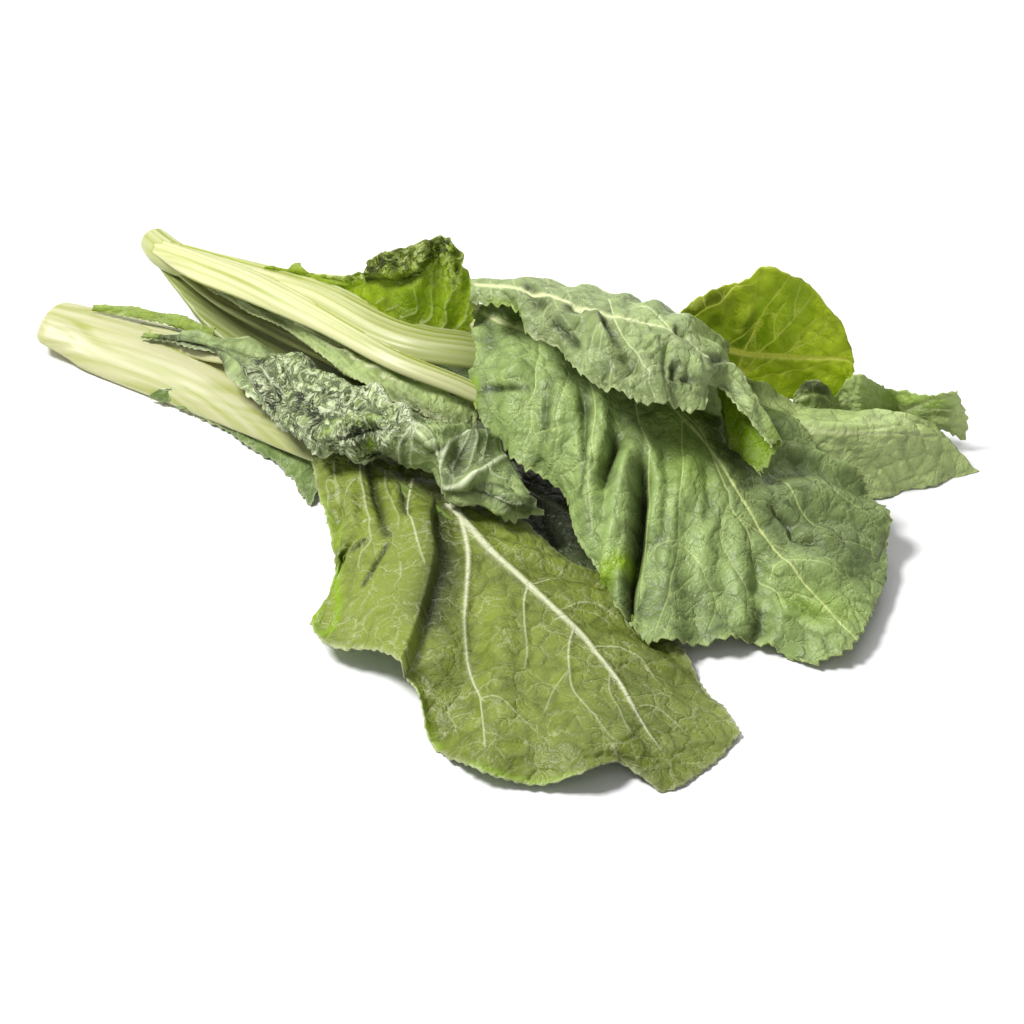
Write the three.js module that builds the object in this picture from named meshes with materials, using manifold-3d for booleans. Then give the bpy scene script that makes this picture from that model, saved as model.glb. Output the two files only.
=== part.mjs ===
// Bunch of leaf mustard: two cut heads of broad, crumpled leaves, lying together on a surface.
//
// Millimetres, +Z up. The bunch lies along X, with the cut butts at -X and the leaf tips at +X.
// The origin is under the middle of the bunch, on the surface that it lies on.
//
// A leaf is a net of points: rows from its base to its tip, each row from margin to margin.
// A smooth sheet through the net is pleated, ruffled and toothed by the leaf's own formula,
// and given its thickness. Stalks, midribs and the raised side veins are swept along curves.

import * as THREE from "three";
import { mergeVertices } from "three/addons/utils/BufferGeometryUtils.js";
import Module from "manifold-3d";

const wasm = await Module();
wasm.setup();

// Driving dimensions
const BUNCH_TURN = THREE.MathUtils.degToRad(35);
const BLADE_THICKNESS = 0.9;
const NEIGHBOUR_GAP = 0.35;
const LEAF_GAP = 0.6;
const RESTING_LEVEL = 0;
const CUT_TOLERANCE = 0.08;

// Stalks
const RIBBED_STALK_SIDES = 12;
const PLAIN_STALK_SIDES = 8;
const RIBBED_STATIONS_PER_SPAN = 2;
const PLAIN_STATIONS_PER_SPAN = 1;
const STALK_END_ROUNDING = 0.22;
const RIB_HEIGHT = 0.7;

// Side veins that stand out on the underside of the front leaf
const VEIN_SIDES = 4;
const VEIN_STEPS = 3;
const VEIN_ROOT_WIDTH = 3.4;
const VEIN_TIP_WIDTH = 1.8;
const VEIN_RISE = 0.5;

// Colours, from the pale butts to the bluish upper sides
const PALE_STALK = 0xdfe3b4;
const YELLOW_STALK = 0xc9d487;
const GREY_GREEN = 0x7f9a6b;
const OLIVE_GREEN = 0x7e9647;
const BLUE_GREEN = 0x6c8f5d;
const LIGHT_GREEN = 0x9bb75c;
const BRIGHT_GREEN = 0x9ab52e;

// Paths of the stalks in each head, butt first. A width stands beside each point.
// flat: thickness over width. bow: how far the middle is arched up, over width.
// ribbed: the stalk shows its lengthwise ribs.
const FRONT_HEAD = [
  {
    name: "front_main",
    path: [
      [-224, 148, 9], [-198, 139, 3.4], [-156, 113, 3.4], [-125, 84, 4.4],
      [-97, 46, 10], [-77, 18, 15], [-53, -5, 18], [-27, -35, 18], [1, -75, 16],
      [31, -120, 12], [55, -153, 9],
    ],
    widths: [36, 48, 52, 44, 28, 16, 11, 9, 7, 5, 3],
    flat: 0.34,
    bow: 0.1,
    ribbed: true,
  },
  {
    name: "front_second",
    path: [
      [-206, 150, 9], [-172, 130, 13], [-142, 106, 20], [-116, 76, 33],
      [-91, 38, 43], [-58, 13, 43], [-36, -8, 41],
    ],
    widths: [14, 18, 18, 15, 12, 9, 6],
    flat: 0.4,
    bow: 0.06,
    ribbed: true,
  },
];
const BACK_HEAD = [
  {
    name: "back_crown",
    path: [[-177, 172, 43], [-171, 162, 43], [-161, 153, 42], [-152, 153, 37]],
    widths: [15, 17, 15, 7],
    flat: 0.95,
    bow: 0,
    ribbed: false,
  },
  {
    name: "back_near",
    path: [
      [-173, 161, 46], [-148, 130, 52], [-120, 105, 55], [-85, 74, 55], [-52, 43, 54], [-18, 30, 46],
      [13, 26, 28],
    ],
    widths: [11, 20, 20, 15, 13.5, 12, 6],
    flat: 0.5,
    bow: 0.1,
    ribbed: true,
  },
  {
    name: "back_ribbed",
    path: [
      [-173, 164, 46], [-129, 127, 53], [-92, 97, 57], [-60, 66, 57], [-40, 54, 57], [-18, 52, 54],
      [10, 56, 46],
    ],
    widths: [9, 16, 23, 26, 26, 26, 10],
    flat: 0.34,
    bow: 0.1,
    ribbed: true,
  },
  {
    name: "back_low",
    path: [
      [-175, 166, 40], [-159, 148, 33], [-140, 134, 25], [-114, 115, 18],
      [-77, 89, 13], [-29, 55, 10], [41, 38, 9], [83, 34, 14], [108, 32, 23],
      [131, 26, 27], [157, 25, 27], [180, 31, 21],
    ],
    widths: [9, 16, 30, 36, 34, 22, 14, 11, 9, 7, 5, 3],
    flat: 0.34,
    bow: -0.14,
    ribbed: false,
  },
  {
    name: "back_rear",
    path: [
      [-171, 167, 43], [-128, 140, 43], [-87, 123, 47], [-53, 100, 60], [-16, 76, 74], [12, 58, 80],
      [37, 47, 81], [61, 34, 79], [85, 22, 72],
    ],
    widths: [8, 14, 17, 15, 11, 8, 6, 4, 2.5],
    flat: 0.42,
    bow: 0.06,
    ribbed: false,
  },
  {
    name: "back_mid",
    path: [
      [-172, 167, 42], [-127, 136, 46], [-87, 112, 50], [-44, 89, 52], [-16, 73, 63], [10, 46, 66],
      [37, 31, 64], [62, 12, 58], [84, -10, 48], [100, -39, 38], [114, -60, 26],
    ],
    widths: [8, 18, 19, 17, 12, 9, 8, 7, 5.5, 4, 2.5],
    flat: 0.42,
    bow: 0.04,
    ribbed: false,
  },
  {
    name: "back_under",
    path: [
      [-170, 160, 41], [-153, 148, 37], [-136, 129, 35], [-117, 119, 31], [-87, 103, 24], [-53, 84, 16],
      [4, 78, 10], [61, 76, 9], [111, 70, 12], [150, 62, 13], [172, 61, 14], [190, 60, 15],
      [203, 56, 15],
    ],
    widths: [9, 16, 16, 20, 20, 17, 13, 10, 8, 6, 5, 4, 2.5],
    flat: 0.34,
    bow: -0.12,
    ribbed: false,
  },
  {
    name: "back_over",
    path: [
      [-172, 169, 41], [-104, 141, 34], [-15, 107, 32], [42, 84, 36],
      [84, 66, 46], [104, 65, 46], [122, 66, 44], [140, 66, 42],
    ],
    widths: [9, 20, 20, 14, 9, 6, 4.5, 2.5],
    flat: 0.42,
    bow: 0.06,
    ribbed: false,
  },
  {
    name: "back_far",
    path: [
      [-173, 168, 40], [-122, 133, 32], [-76, 106, 24], [-33, 105, 21],
      [13, 111, 16], [61, 120, 12], [105, 123, 10],
    ],
    widths: [9, 18, 17, 12, 9, 6, 3],
    flat: 0.42,
    bow: 0.04,
    ribbed: false,
  },
];

// Side veins of the front leaf: where each leaves the midrib (share of the leaf's length), how far
// it runs towards the tip, and how much of the half width it crosses. A minus is the near half.
const FRONT_SIDE_VEINS = [
  { from: 0.4, forward: 0.25, across: -0.86 },
  { from: 0.58, forward: 0.12, across: -0.55 },
  { from: 0.69, forward: 0.17, across: -0.52 },
  { from: 0.78, forward: 0.12, across: -0.45 },
  { from: 0.57, forward: 0.04, across: 0.57 },
  { from: 0.65, forward: 0.06, across: 0.5 },
  { from: 0.73, forward: 0.14, across: 0.36 },
];

// Leaves. rib: share of the width where the midrib runs. cells: along, across.
// pleats: folds between side veins (count, slant towards the tip, depth).
// ruffle: waves of the margin (count, height). teeth: how far every other tooth stands out.
// crumple: depth of the uneven puckers. trim: neighbours that this leaf is cut clear of.
const LEAVES = [
  {
    name: "front_broad_leaf",
    colour: OLIVE_GREEN,
    net: [
      [[-94, 28, 12], [-89, 19, 18], [-82, 15, 21], [-74, 17, 21], [-67, 24, 18]],
      [[-84, -23, 12], [-77, -14, 19], [-67, 2, 23], [-56, 11, 20], [-47, 17, 16]],
      [[-78, -77, 12], [-70, -49, 19], [-58, -19, 22], [-46, 0, 19], [-34, 9, 15]],
      [[-84, -109, 9], [-73, -70, 17], [-49, -25, 21], [-35, -8, 18], [-20, 0, 14]],
      [[-60, -125, 13], [-48, -88, 19], [-32, -32, 20], [-19, -23, 18], [-5, -21, 15]],
      [[-42, -148, 12], [-31, -110, 18], [-14, -56, 20], [4, -46, 17], [18, -42, 12]],
      [[-32, -173, 4], [-17, -128, 13], [1, -75, 18], [21, -64, 16], [39, -62, 10]],
      [[-17, -191, 5], [-3, -150, 14], [16, -99, 17], [35, -79, 14], [50, -79, 8]],
      [[1, -200, 6], [16, -170, 14], [32, -123, 15], [49, -100, 11], [62, -99, 5]],
      [[28, -201, 9], [36, -184, 13], [47, -144, 12], [61, -123, 8], [75, -118, 4]],
      [[45, -192, 8], [51, -181, 11], [59, -155, 9], [72, -141, 6], [85, -139, 2]],
      [[61, -201, 0], [69, -198, 1], [79, -188, 1], [88, -177, 1], [96, -164, 2]],
    ],
    cells: [24, 14],
    rib: 0.5,
    pleats: { count: 7, slant: 0.17, depth: 2.2 },
    ruffle: { count: 5, height: 3, phase: 1 },
    teeth: 1.6,
    crumple: 0,
    trim: [],
  },
  {
    name: "front_crumpled_leaf",
    colour: GREY_GREEN,
    net: [
      [[-182, 122, 18], [-181, 122, 19], [-180, 121, 20], [-179, 123, 20], [-179, 125, 19]],
      [[-161, 111, 22], [-159, 110, 24], [-157, 108, 26], [-156, 110, 26], [-154, 113, 25]],
      [[-136, 84, 27], [-134, 80, 33], [-131, 79, 37], [-127, 82, 38], [-124, 94, 33]],
      [[-116, 40, 28], [-114, 40, 38], [-110, 44, 45], [-105, 56, 46], [-100, 77, 36]],
      [[-97, 12, 31], [-95, 12, 43], [-90, 20, 51], [-84, 37, 51], [-80, 48, 38]],
      [[-81, -2, 30], [-75, -6, 44], [-68, 1, 53], [-62, 19, 51], [-59, 29, 36]],
      [[-64, 2, 32], [-57, -9, 46], [-49, -8, 53], [-43, 5, 50], [-40, 15, 35]],
      [[-42, -11, 32], [-38, -20, 45], [-33, -17, 51], [-27, 1, 46], [-24, 12, 34]],
      [[-22, -30, 26], [-21, -34, 39], [-17, -20, 40], [-17, 3, 43], [-15, 17, 32]],
      [[0, -38, 22], [-1, -39, 32], [-1, -30, 36], [-3, -1, 31], [-3, 12, 26]],
      [[13, -34, 24], [11, -33, 28], [8, -30, 31], [5, -23, 31], [4, -13, 28]],
    ],
    cells: [28, 10],
    rib: 0.5,
    pleats: { count: 9, slant: 0.12, depth: 2 },
    ruffle: { count: 9, height: 2.5, phase: 2 },
    teeth: 2.2,
    crumple: 2.2,
    trim: [],
  },
  {
    name: "front_under_leaf",
    colour: GREY_GREEN,
    net: [
      [[-176, 93, 3], [-174, 92, 5], [-171, 92, 7], [-168, 91, 9]],
      [[-160, 84, 2], [-158, 84, 5], [-156, 87, 8], [-154, 88, 11]],
      [[-143, 71, 1], [-141, 73, 4], [-139, 75, 7], [-136, 77, 9]],
      [[-124, 50, 1], [-121, 52, 4], [-119, 54, 7], [-115, 56, 9]],
      [[-103, 27, 1], [-100, 30, 5], [-97, 34, 8], [-94, 38, 10]],
      [[-93, 3, 1], [-90, 9, 5], [-86, 16, 8], [-83, 23, 10]],
    ],
    cells: [14, 5],
    rib: 0.9,
    pleats: { count: 5, slant: 0.1, depth: 0.6 },
    ruffle: { count: 6, height: 1, phase: 0 },
    teeth: 1.5,
    crumple: 0,
    trim: [],
  },
  {
    name: "front_inner_leaf",
    colour: LIGHT_GREEN,
    net: [
      [[-208, 149, 17], [-207, 149, 19], [-207, 150, 20]],
      [[-185, 138, 20], [-184, 140, 22], [-183, 142, 23]],
      [[-164, 125, 22], [-162, 126, 25], [-161, 129, 26]],
      [[-148, 111, 24], [-146, 111, 28], [-145, 113, 30]],
      [[-133, 99, 27], [-132, 99, 31], [-130, 100, 33]],
    ],
    cells: [12, 4],
    rib: 0,
    pleats: { count: 4, slant: 0.1, depth: 0.5 },
    ruffle: { count: 4, height: 1.5, phase: 1 },
    teeth: 1.2,
    crumple: 0,
    trim: ["front_crumpled_leaf"],
  },
  {
    name: "back_draped_leaf",
    colour: BLUE_GREEN,
    net: [
      [[-18, 25, 44], [-20, 38, 52], [-19, 53, 60], [-16, 68, 66], [-12, 72, 70], [-9, 78, 70]],
      [[-5, 1, 36], [0, 5, 50], [4, 19, 61], [10, 43, 68], [17, 56, 70], [22, 66, 67]],
      [[22, -29, 27], [24, -17, 43], [28, 0, 57], [36, 28, 66], [43, 42, 68], [51, 55, 64]],
      [[41, -84, 16], [41, -58, 31], [46, -24, 48], [62, 9, 60], [74, 25, 58], [89, 48, 50]],
      [[58, -114, 13], [62, -83, 22], [68, -48, 40], [84, -13, 50], [103, 8, 44], [125, 24, 36]],
      [[83, -110, 9], [86, -92, 15], [90, -67, 29], [100, -42, 40], [125, -12, 38], [152, -8, 30]],
      [[106, -107, 6], [108, -96, 12], [112, -79, 19], [115, -66, 26], [139, -48, 28], [168, -26, 18]],
      [[119, -111, 1], [130, -118, 3], [140, -117, 7], [149, -110, 9], [156, -92, 9], [166, -64, 8]],
    ],
    cells: [24, 16],
    rib: 0.6,
    pleats: { count: 9, slant: 0.05, depth: 2.6 },
    ruffle: { count: 7, height: 3, phase: 0 },
    teeth: 2,
    crumple: 0.6,
    trim: ["front_crumpled_leaf", "front_broad_leaf"],
  },
  {
    name: "back_folded_leaf",
    colour: BLUE_GREEN,
    net: [
      [[-19, 49, 82], [-19, 50, 87], [-19, 55, 89], [-18, 64, 86], [-14, 76, 76], [-10, 82, 64]],
      [[-2, 37, 88], [-2, 39, 92], [-3, 44, 94], [-2, 56, 91], [4, 73, 78], [10, 83, 62]],
      [[10, 15, 86], [10, 21, 94], [11, 35, 97], [14, 49, 93], [20, 70, 80], [27, 84, 60]],
      [[22, 3, 85], [22, 11, 94], [24, 24, 98], [27, 39, 94], [34, 66, 80], [40, 81, 58]],
      [[35, -22, 84], [35, -4, 93], [38, 16, 98], [42, 36, 94], [47, 62, 79], [54, 78, 56]],
      [[46, -28, 83], [47, -11, 92], [50, 12, 97], [54, 34, 92], [60, 56, 78], [68, 72, 56]],
      [[59, -33, 81], [60, -18, 91], [63, 10, 95], [67, 32, 91], [73, 51, 76], [81, 66, 56]],
      [[70, -29, 79], [71, -18, 89], [75, 6, 92], [79, 27, 87], [85, 46, 74], [91, 58, 59]],
      [[81, -29, 75], [83, -20, 83], [86, -2, 86], [90, 19, 80], [94, 31, 71], [99, 43, 60]],
      [[89, -7, 75], [92, -4, 77], [99, 2, 78], [101, 9, 71], [98, 16, 66], [92, 20, 58]],
      [[105, -20, 65], [108, -17, 66], [112, -14, 66], [110, -14, 57], [100, -13, 50], [98, -12, 46]],
      [[115, -28, 55], [117, -26, 55], [120, -23, 55], [117, -26, 50], [111, -32, 44], [111, -33, 42]],
    ],
    cells: [26, 11],
    rib: 0.4,
    pleats: { count: 8, slant: 0.06, depth: 1.8 },
    ruffle: { count: 7, height: 2, phase: 1 },
    teeth: 1.8,
    crumple: 0.6,
    trim: ["back_draped_leaf"],
  },
  {
    name: "back_curled_leaf",
    colour: LIGHT_GREEN,
    net: [
      [[-120, 120, 58], [-119, 119, 59], [-119, 120, 59], [-118, 119, 60], [-118, 120, 60]],
      [[-104, 111, 59], [-104, 112, 60], [-103, 112, 61], [-103, 112, 62], [-102, 113, 62]],
      [[-88, 103, 59], [-88, 103, 61], [-87, 102, 63], [-86, 102, 64], [-85, 102, 65]],
      [[-75, 90, 59], [-74, 92, 62], [-74, 91, 66], [-72, 91, 70], [-71, 91, 74]],
      [[-63, 75, 59], [-63, 77, 67], [-62, 78, 76], [-63, 77, 85], [-62, 79, 92]],
      [[-50, 63, 59], [-50, 66, 69], [-49, 67, 80], [-48, 68, 91], [-48, 72, 99]],
      [[-36, 59, 58], [-35, 63, 69], [-34, 66, 81], [-33, 69, 93], [-30, 75, 103]],
      [[-26, 59, 57], [-26, 61, 66], [-25, 62, 76], [-24, 64, 86], [-23, 66, 94]],
      [[-20, 59, 56], [-19, 59, 64], [-18, 59, 71], [-18, 60, 78], [-18, 62, 84]],
    ],
    cells: [18, 9],
    rib: 0,
    pleats: { count: 5, slant: 0.1, depth: 0.8 },
    ruffle: { count: 9, height: 2.5, phase: 0 },
    teeth: 2,
    crumple: 1,
    trim: ["back_draped_leaf", "back_folded_leaf"],
  },
  {
    name: "back_upright_leaf",
    colour: BRIGHT_GREEN,
    net: [
      [[77, 57, 74], [80, 57, 67], [83, 57, 55], [85, 57, 47], [88, 57, 39]],
      [[89, 60, 81], [91, 60, 69], [94, 60, 53], [96, 60, 42], [99, 60, 32]],
      [[104, 61, 85], [106, 61, 70], [109, 61, 48], [112, 61, 36], [114, 61, 26]],
      [[118, 62, 93], [120, 62, 72], [123, 62, 46], [126, 62, 33], [128, 62, 23]],
      [[135, 62, 85], [138, 62, 65], [141, 62, 45], [143, 62, 33], [145, 62, 22]],
      [[150, 61, 69], [153, 61, 57], [155, 61, 45], [156, 61, 35], [157, 61, 25]],
      [[158, 60, 52], [159, 60, 48], [160, 60, 42], [160, 60, 37], [159, 60, 31]],
    ],
    cells: [12, 9],
    rib: 0.5,
    pleats: { count: 6, slant: 0.25, depth: 0.9 },
    ruffle: { count: 5, height: 1.5, phase: 0 },
    teeth: 1.4,
    crumple: 0,
    trim: ["back_draped_leaf", "back_folded_leaf", "back_end_leaf"],
  },
  {
    name: "back_end_leaf",
    colour: GREY_GREEN,
    net: [
      [[107, 23, 12], [106, 27, 22], [106, 32, 31], [107, 39, 37], [107, 52, 40], [108, 66, 30]],
      [[121, 13, 9], [120, 20, 20], [120, 26, 31], [121, 38, 33], [122, 52, 34], [124, 59, 24]],
      [[140, 7, 3], [135, 11, 18], [131, 20, 31], [132, 32, 31], [134, 46, 28], [136, 47, 18]],
      [[169, 11, 1], [163, 16, 16], [157, 20, 30], [157, 29, 31], [159, 42, 28], [160, 46, 18]],
      [[194, 20, 0], [187, 24, 13], [181, 27, 25], [179, 34, 28], [178, 44, 27], [178, 48, 18]],
      [[218, 33, 0], [211, 36, 7], [204, 40, 14], [200, 44, 16], [198, 50, 16], [198, 46, 12]],
    ],
    cells: [13, 9],
    rib: 0.4,
    pleats: { count: 5, slant: 0.15, depth: 1 },
    ruffle: { count: 5, height: 1.5, phase: 2 },
    teeth: 1.4,
    crumple: 0,
    trim: ["back_draped_leaf"],
  },
  {
    name: "back_tip_leaf",
    colour: LIGHT_GREEN,
    net: [
      [[132, 54, 30], [132, 54, 27], [132, 54, 24], [134, 54, 20]],
      [[137, 50, 39], [137, 50, 34], [137, 50, 28], [138, 50, 22]],
      [[144, 50, 39], [145, 50, 34], [145, 50, 28], [146, 50, 21]],
      [[151, 56, 27], [151, 56, 24], [152, 56, 20], [152, 56, 15]],
      [[156, 54, 36], [157, 54, 30], [158, 54, 22], [159, 54, 15]],
      [[162, 52, 41], [163, 52, 34], [164, 52, 25], [165, 52, 15]],
      [[171, 57, 33], [172, 57, 27], [173, 57, 19], [175, 57, 11]],
      [[179, 62, 26], [180, 62, 21], [181, 62, 14], [182, 62, 6]],
      [[189, 56, 28], [189, 56, 23], [190, 56, 16], [190, 56, 8]],
      [[200, 50, 34], [201, 50, 27], [202, 50, 19], [201, 50, 11]],
      [[208, 50, 34], [211, 50, 26], [214, 50, 17], [214, 50, 6]],
    ],
    cells: [18, 6],
    rib: 0.5,
    pleats: { count: 3, slant: 0.1, depth: 0.8 },
    ruffle: { count: 3, height: 1.5, phase: 1 },
    teeth: 1.4,
    crumple: 0,
    trim: ["back_end_leaf"],
  },
  {
    name: "back_far_leaf",
    colour: BLUE_GREEN,
    net: [
      [[-78, 96, 24], [-76, 103, 25], [-74, 110, 24], [-72, 118, 20]],
      [[-40, 74, 20], [-36, 94, 22], [-31, 113, 19], [-24, 136, 8]],
      [[5, 70, 14], [10, 97, 17], [15, 122, 14], [24, 152, 3]],
      [[52, 86, 13], [58, 108, 14], [63, 130, 10], [70, 154, 2]],
      [[98, 97, 12], [103, 113, 12], [107, 130, 9], [112, 148, 2]],
      [[130, 106, 5], [134, 117, 5], [137, 126, 4], [138, 136, 2]],
    ],
    cells: [14, 10],
    rib: 0.55,
    pleats: { count: 6, slant: 0.15, depth: 1.8 },
    ruffle: { count: 5, height: 2.5, phase: 1 },
    teeth: 1.8,
    crumple: 0.4,
    trim: ["back_draped_leaf", "back_folded_leaf", "back_end_leaf", "back_upright_leaf"],
  },
  {
    name: "back_near_leaf",
    colour: GREY_GREEN,
    net: [
      [[-160, 139, 49], [-160, 138, 48], [-160, 139, 46]],
      [[-144, 123, 50], [-144, 122, 49], [-144, 121, 46]],
      [[-125, 109, 51], [-126, 107, 48], [-127, 104, 45]],
      [[-107, 94, 51], [-108, 92, 48], [-109, 89, 44]],
      [[-90, 77, 51], [-91, 73, 48], [-92, 68, 44]],
      [[-77, 65, 50], [-78, 59, 47], [-80, 53, 44]],
      [[-64, 53, 50], [-66, 47, 47], [-68, 40, 43]],
      [[-52, 44, 49], [-53, 36, 46], [-56, 29, 42]],
      [[-39, 36, 47], [-41, 28, 44], [-43, 21, 40]],
      [[-27, 31, 44], [-28, 24, 41], [-28, 17, 37]],
      [[-15, 31, 39], [-16, 24, 36], [-16, 19, 32]],
    ],
    cells: [20, 4],
    rib: 0.5,
    pleats: { count: 8, slant: 0.1, depth: 1 },
    ruffle: { count: 6, height: 1.5, phase: 0 },
    teeth: 1.6,
    crumple: 0.5,
    trim: ["front_crumpled_leaf", "back_draped_leaf"],
  },
  {
    name: "back_low_leaf",
    colour: BLUE_GREEN,
    net: [
      [[-17, 22, 4], [-15, 34, 7], [-12, 48, 9], [-9, 63, 9]],
      [[3, -17, 3], [6, -1, 6], [9, 18, 9], [14, 39, 9]],
      [[24, -46, 3], [28, -27, 6], [34, -5, 9], [41, 21, 9]],
      [[50, -75, 2], [55, -55, 5], [62, -32, 8], [71, -2, 8]],
      [[78, -85, 1], [84, -67, 4], [91, -44, 6], [100, -15, 6]],
    ],
    cells: [10, 5],
    rib: 0.5,
    pleats: { count: 5, slant: 0.15, depth: 1 },
    ruffle: { count: 5, height: 1, phase: 0 },
    teeth: 1.8,
    crumple: 0,
    trim: ["front_broad_leaf", "back_draped_leaf"],
  },
];

// Places along a curve, from 0 to 1
function steps(count) {
  return Array.from({ length: count + 1 }, (unused, i) => i / count);
}

function curveThrough(points) {
  return new THREE.CatmullRomCurve3(points, false, "catmullrom", 0.5);
}

function toPoint([x, y, z]) {
  return new THREE.Vector3(x, y, z);
}

// Smooth sheet through a leaf's net: u from base to tip, v from margin to margin
function smoothSheet(net) {
  const rows = net.map((row) => curveThrough(row.map(toPoint)));
  const alongAt = new Map();
  return (u, v) => {
    if (!alongAt.has(v)) {
      alongAt.set(v, curveThrough(rows.map((row) => row.getPoint(v))));
    }
    return alongAt.get(v).getPoint(u);
  };
}

function blend(from, to, value) {
  return THREE.MathUtils.smoothstep(value, from, to);
}

// Height of the leaf's folds, ruffle and puckers off the smooth sheet
function relief(leaf, u, v) {
  const side = v < leaf.rib ? (v - leaf.rib) / leaf.rib : (v - leaf.rib) / (1 - leaf.rib);
  const out = Math.abs(side);
  const ends = blend(0, 0.12, u) * blend(0, 0.12, 1 - u);
  const phase = leaf.pleats.count * (u - leaf.pleats.slant * out) + 0.12 * Math.sin(7 * u + 4 * v);
  const depth = leaf.pleats.depth * (0.75 + 0.35 * Math.sin(9 * u - 6 * v));
  const pleat = depth * Math.cos(2 * Math.PI * phase) * blend(0, 0.4, out);
  const wave = Math.sin(2 * Math.PI * leaf.ruffle.count * u + leaf.ruffle.phase + side);
  const ruffle = leaf.ruffle.height * out ** 3 * wave;
  const pucker = leaf.crumple * Math.sin(23 * u + 5 * v) * Math.sin(9 * v - 11 * u + 1);
  return (pleat * (1 - out ** 4) + ruffle + pucker) * ends;
}

// Grid of points on a leaf's middle surface, with its teeth; grow widens the margins
function leafGrid(leaf, grow) {
  const sheet = smoothSheet(leaf.net);
  const small = 1e-3;
  const [along, across] = leaf.cells;
  return steps(along).map((u, i) =>
    steps(across).map((v, j) => {
      const here = sheet(u, v);
      const du = sheet(Math.min(u + small, 1), v).sub(sheet(Math.max(u - small, 0), v)).normalize();
      const dv = sheet(u, Math.min(v + small, 1)).sub(sheet(u, Math.max(v - small, 0))).normalize();
      const up = new THREE.Vector3().crossVectors(du, dv).normalize();
      here.addScaledVector(up, relief(leaf, u, v));
      const marginSide = j === 0 ? -1 : j === across ? 1 : 0;
      const endSide = i === 0 ? -1 : i === along ? 1 : 0;
      const tooth = (i + j) % 2 === 0 ? leaf.teeth / 2 : -leaf.teeth / 2;
      if (marginSide !== 0) here.addScaledVector(dv, marginSide * (tooth + grow));
      if (endSide !== 0) here.addScaledVector(du, endSide * ((endSide > 0 ? tooth : 0) + grow));
      return here;
    }),
  );
}

function gridNormals(grid) {
  const last = grid.length - 1;
  const lastAcross = grid[0].length - 1;
  return grid.map((row, i) =>
    row.map((point, j) => {
      const along = grid[Math.min(i + 1, last)][j].clone().sub(grid[Math.max(i - 1, 0)][j]);
      const across = grid[i][Math.min(j + 1, lastAcross)].clone().sub(grid[i][Math.max(j - 1, 0)]);
      return along.cross(across).normalize();
    }),
  );
}

// Closed solid from points and faces that are wound either way; it is turned to face outwards
function solidFrom(points, faces) {
  const place = new Float32Array(points.flatMap((point) => [point.x, point.y, point.z]));
  let volume = 0;
  for (const [a, b, c] of faces) {
    volume += points[a].dot(new THREE.Vector3().crossVectors(points[b], points[c])) / 6;
  }
  const turned = volume < 0 ? faces.map(([a, b, c]) => [a, c, b]) : faces;
  const triVerts = new Uint32Array(turned.flat());
  return new wasm.Manifold(new wasm.Mesh({ numProp: 3, vertProperties: place, triVerts }));
}

// Leaf blade: both faces split alike, with a wall round the margin
function bladeSolid(leaf, grow = 0) {
  const grid = leafGrid(leaf, grow);
  const normals = gridNormals(grid);
  const rows = grid.length;
  const columns = grid[0].length;
  const half = BLADE_THICKNESS / 2 + grow;
  const points = [];
  for (const side of [1, -1]) {
    grid.forEach((row, i) =>
      row.forEach((point, j) => {
        const place = point.clone();
        place.z = Math.max(place.z, RESTING_LEVEL + half);
        points.push(place.addScaledVector(normals[i][j], side * half));
      }),
    );
  }
  const top = (i, j) => i * columns + j;
  const under = (i, j) => rows * columns + i * columns + j;
  const faces = [];
  for (let i = 0; i < rows - 1; i += 1) {
    for (let j = 0; j < columns - 1; j += 1) {
      faces.push([top(i, j), top(i + 1, j), top(i + 1, j + 1)]);
      faces.push([top(i, j), top(i + 1, j + 1), top(i, j + 1)]);
      faces.push([under(i, j), under(i + 1, j + 1), under(i + 1, j)]);
      faces.push([under(i, j), under(i, j + 1), under(i + 1, j + 1)]);
    }
  }
  const margin = [];
  for (let i = 0; i < rows - 1; i += 1) margin.push([i, 0]);
  for (let j = 0; j < columns - 1; j += 1) margin.push([rows - 1, j]);
  for (let i = rows - 1; i > 0; i -= 1) margin.push([i, columns - 1]);
  for (let j = columns - 1; j > 0; j -= 1) margin.push([0, j]);
  margin.forEach(([i, j], index) => {
    const [k, l] = margin[(index + 1) % margin.length];
    faces.push([top(i, j), under(k, l), top(k, l)]);
    faces.push([top(i, j), under(i, j), under(k, l)]);
  });
  return solidFrom(points, faces);
}

// Value at a place along a list of values that are evenly spaced
function between(values, t) {
  const place = t * (values.length - 1);
  const index = Math.min(Math.floor(place), values.length - 2);
  return THREE.MathUtils.lerp(values[index], values[index + 1], place - index);
}

// Solid swept along stations: each has a centre, a direction, and its section's points
function sweptSolid(stations, sides) {
  const points = stations.flatMap((station) => station.ring);
  const faces = [];
  for (let i = 0; i < stations.length - 1; i += 1) {
    for (let k = 0; k < sides; k += 1) {
      const next = (k + 1) % sides;
      const [a, b] = [i * sides + k, i * sides + next];
      const [c, d] = [a + sides, b + sides];
      faces.push([a, b, d], [a, d, c]);
    }
  }
  const last = (stations.length - 1) * sides;
  points.push(stations[0].centre, stations[stations.length - 1].centre);
  for (let k = 0; k < sides; k += 1) {
    const next = (k + 1) % sides;
    faces.push([points.length - 2, next, k], [points.length - 1, last + k, last + next]);
  }
  return solidFrom(points, faces);
}

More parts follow.
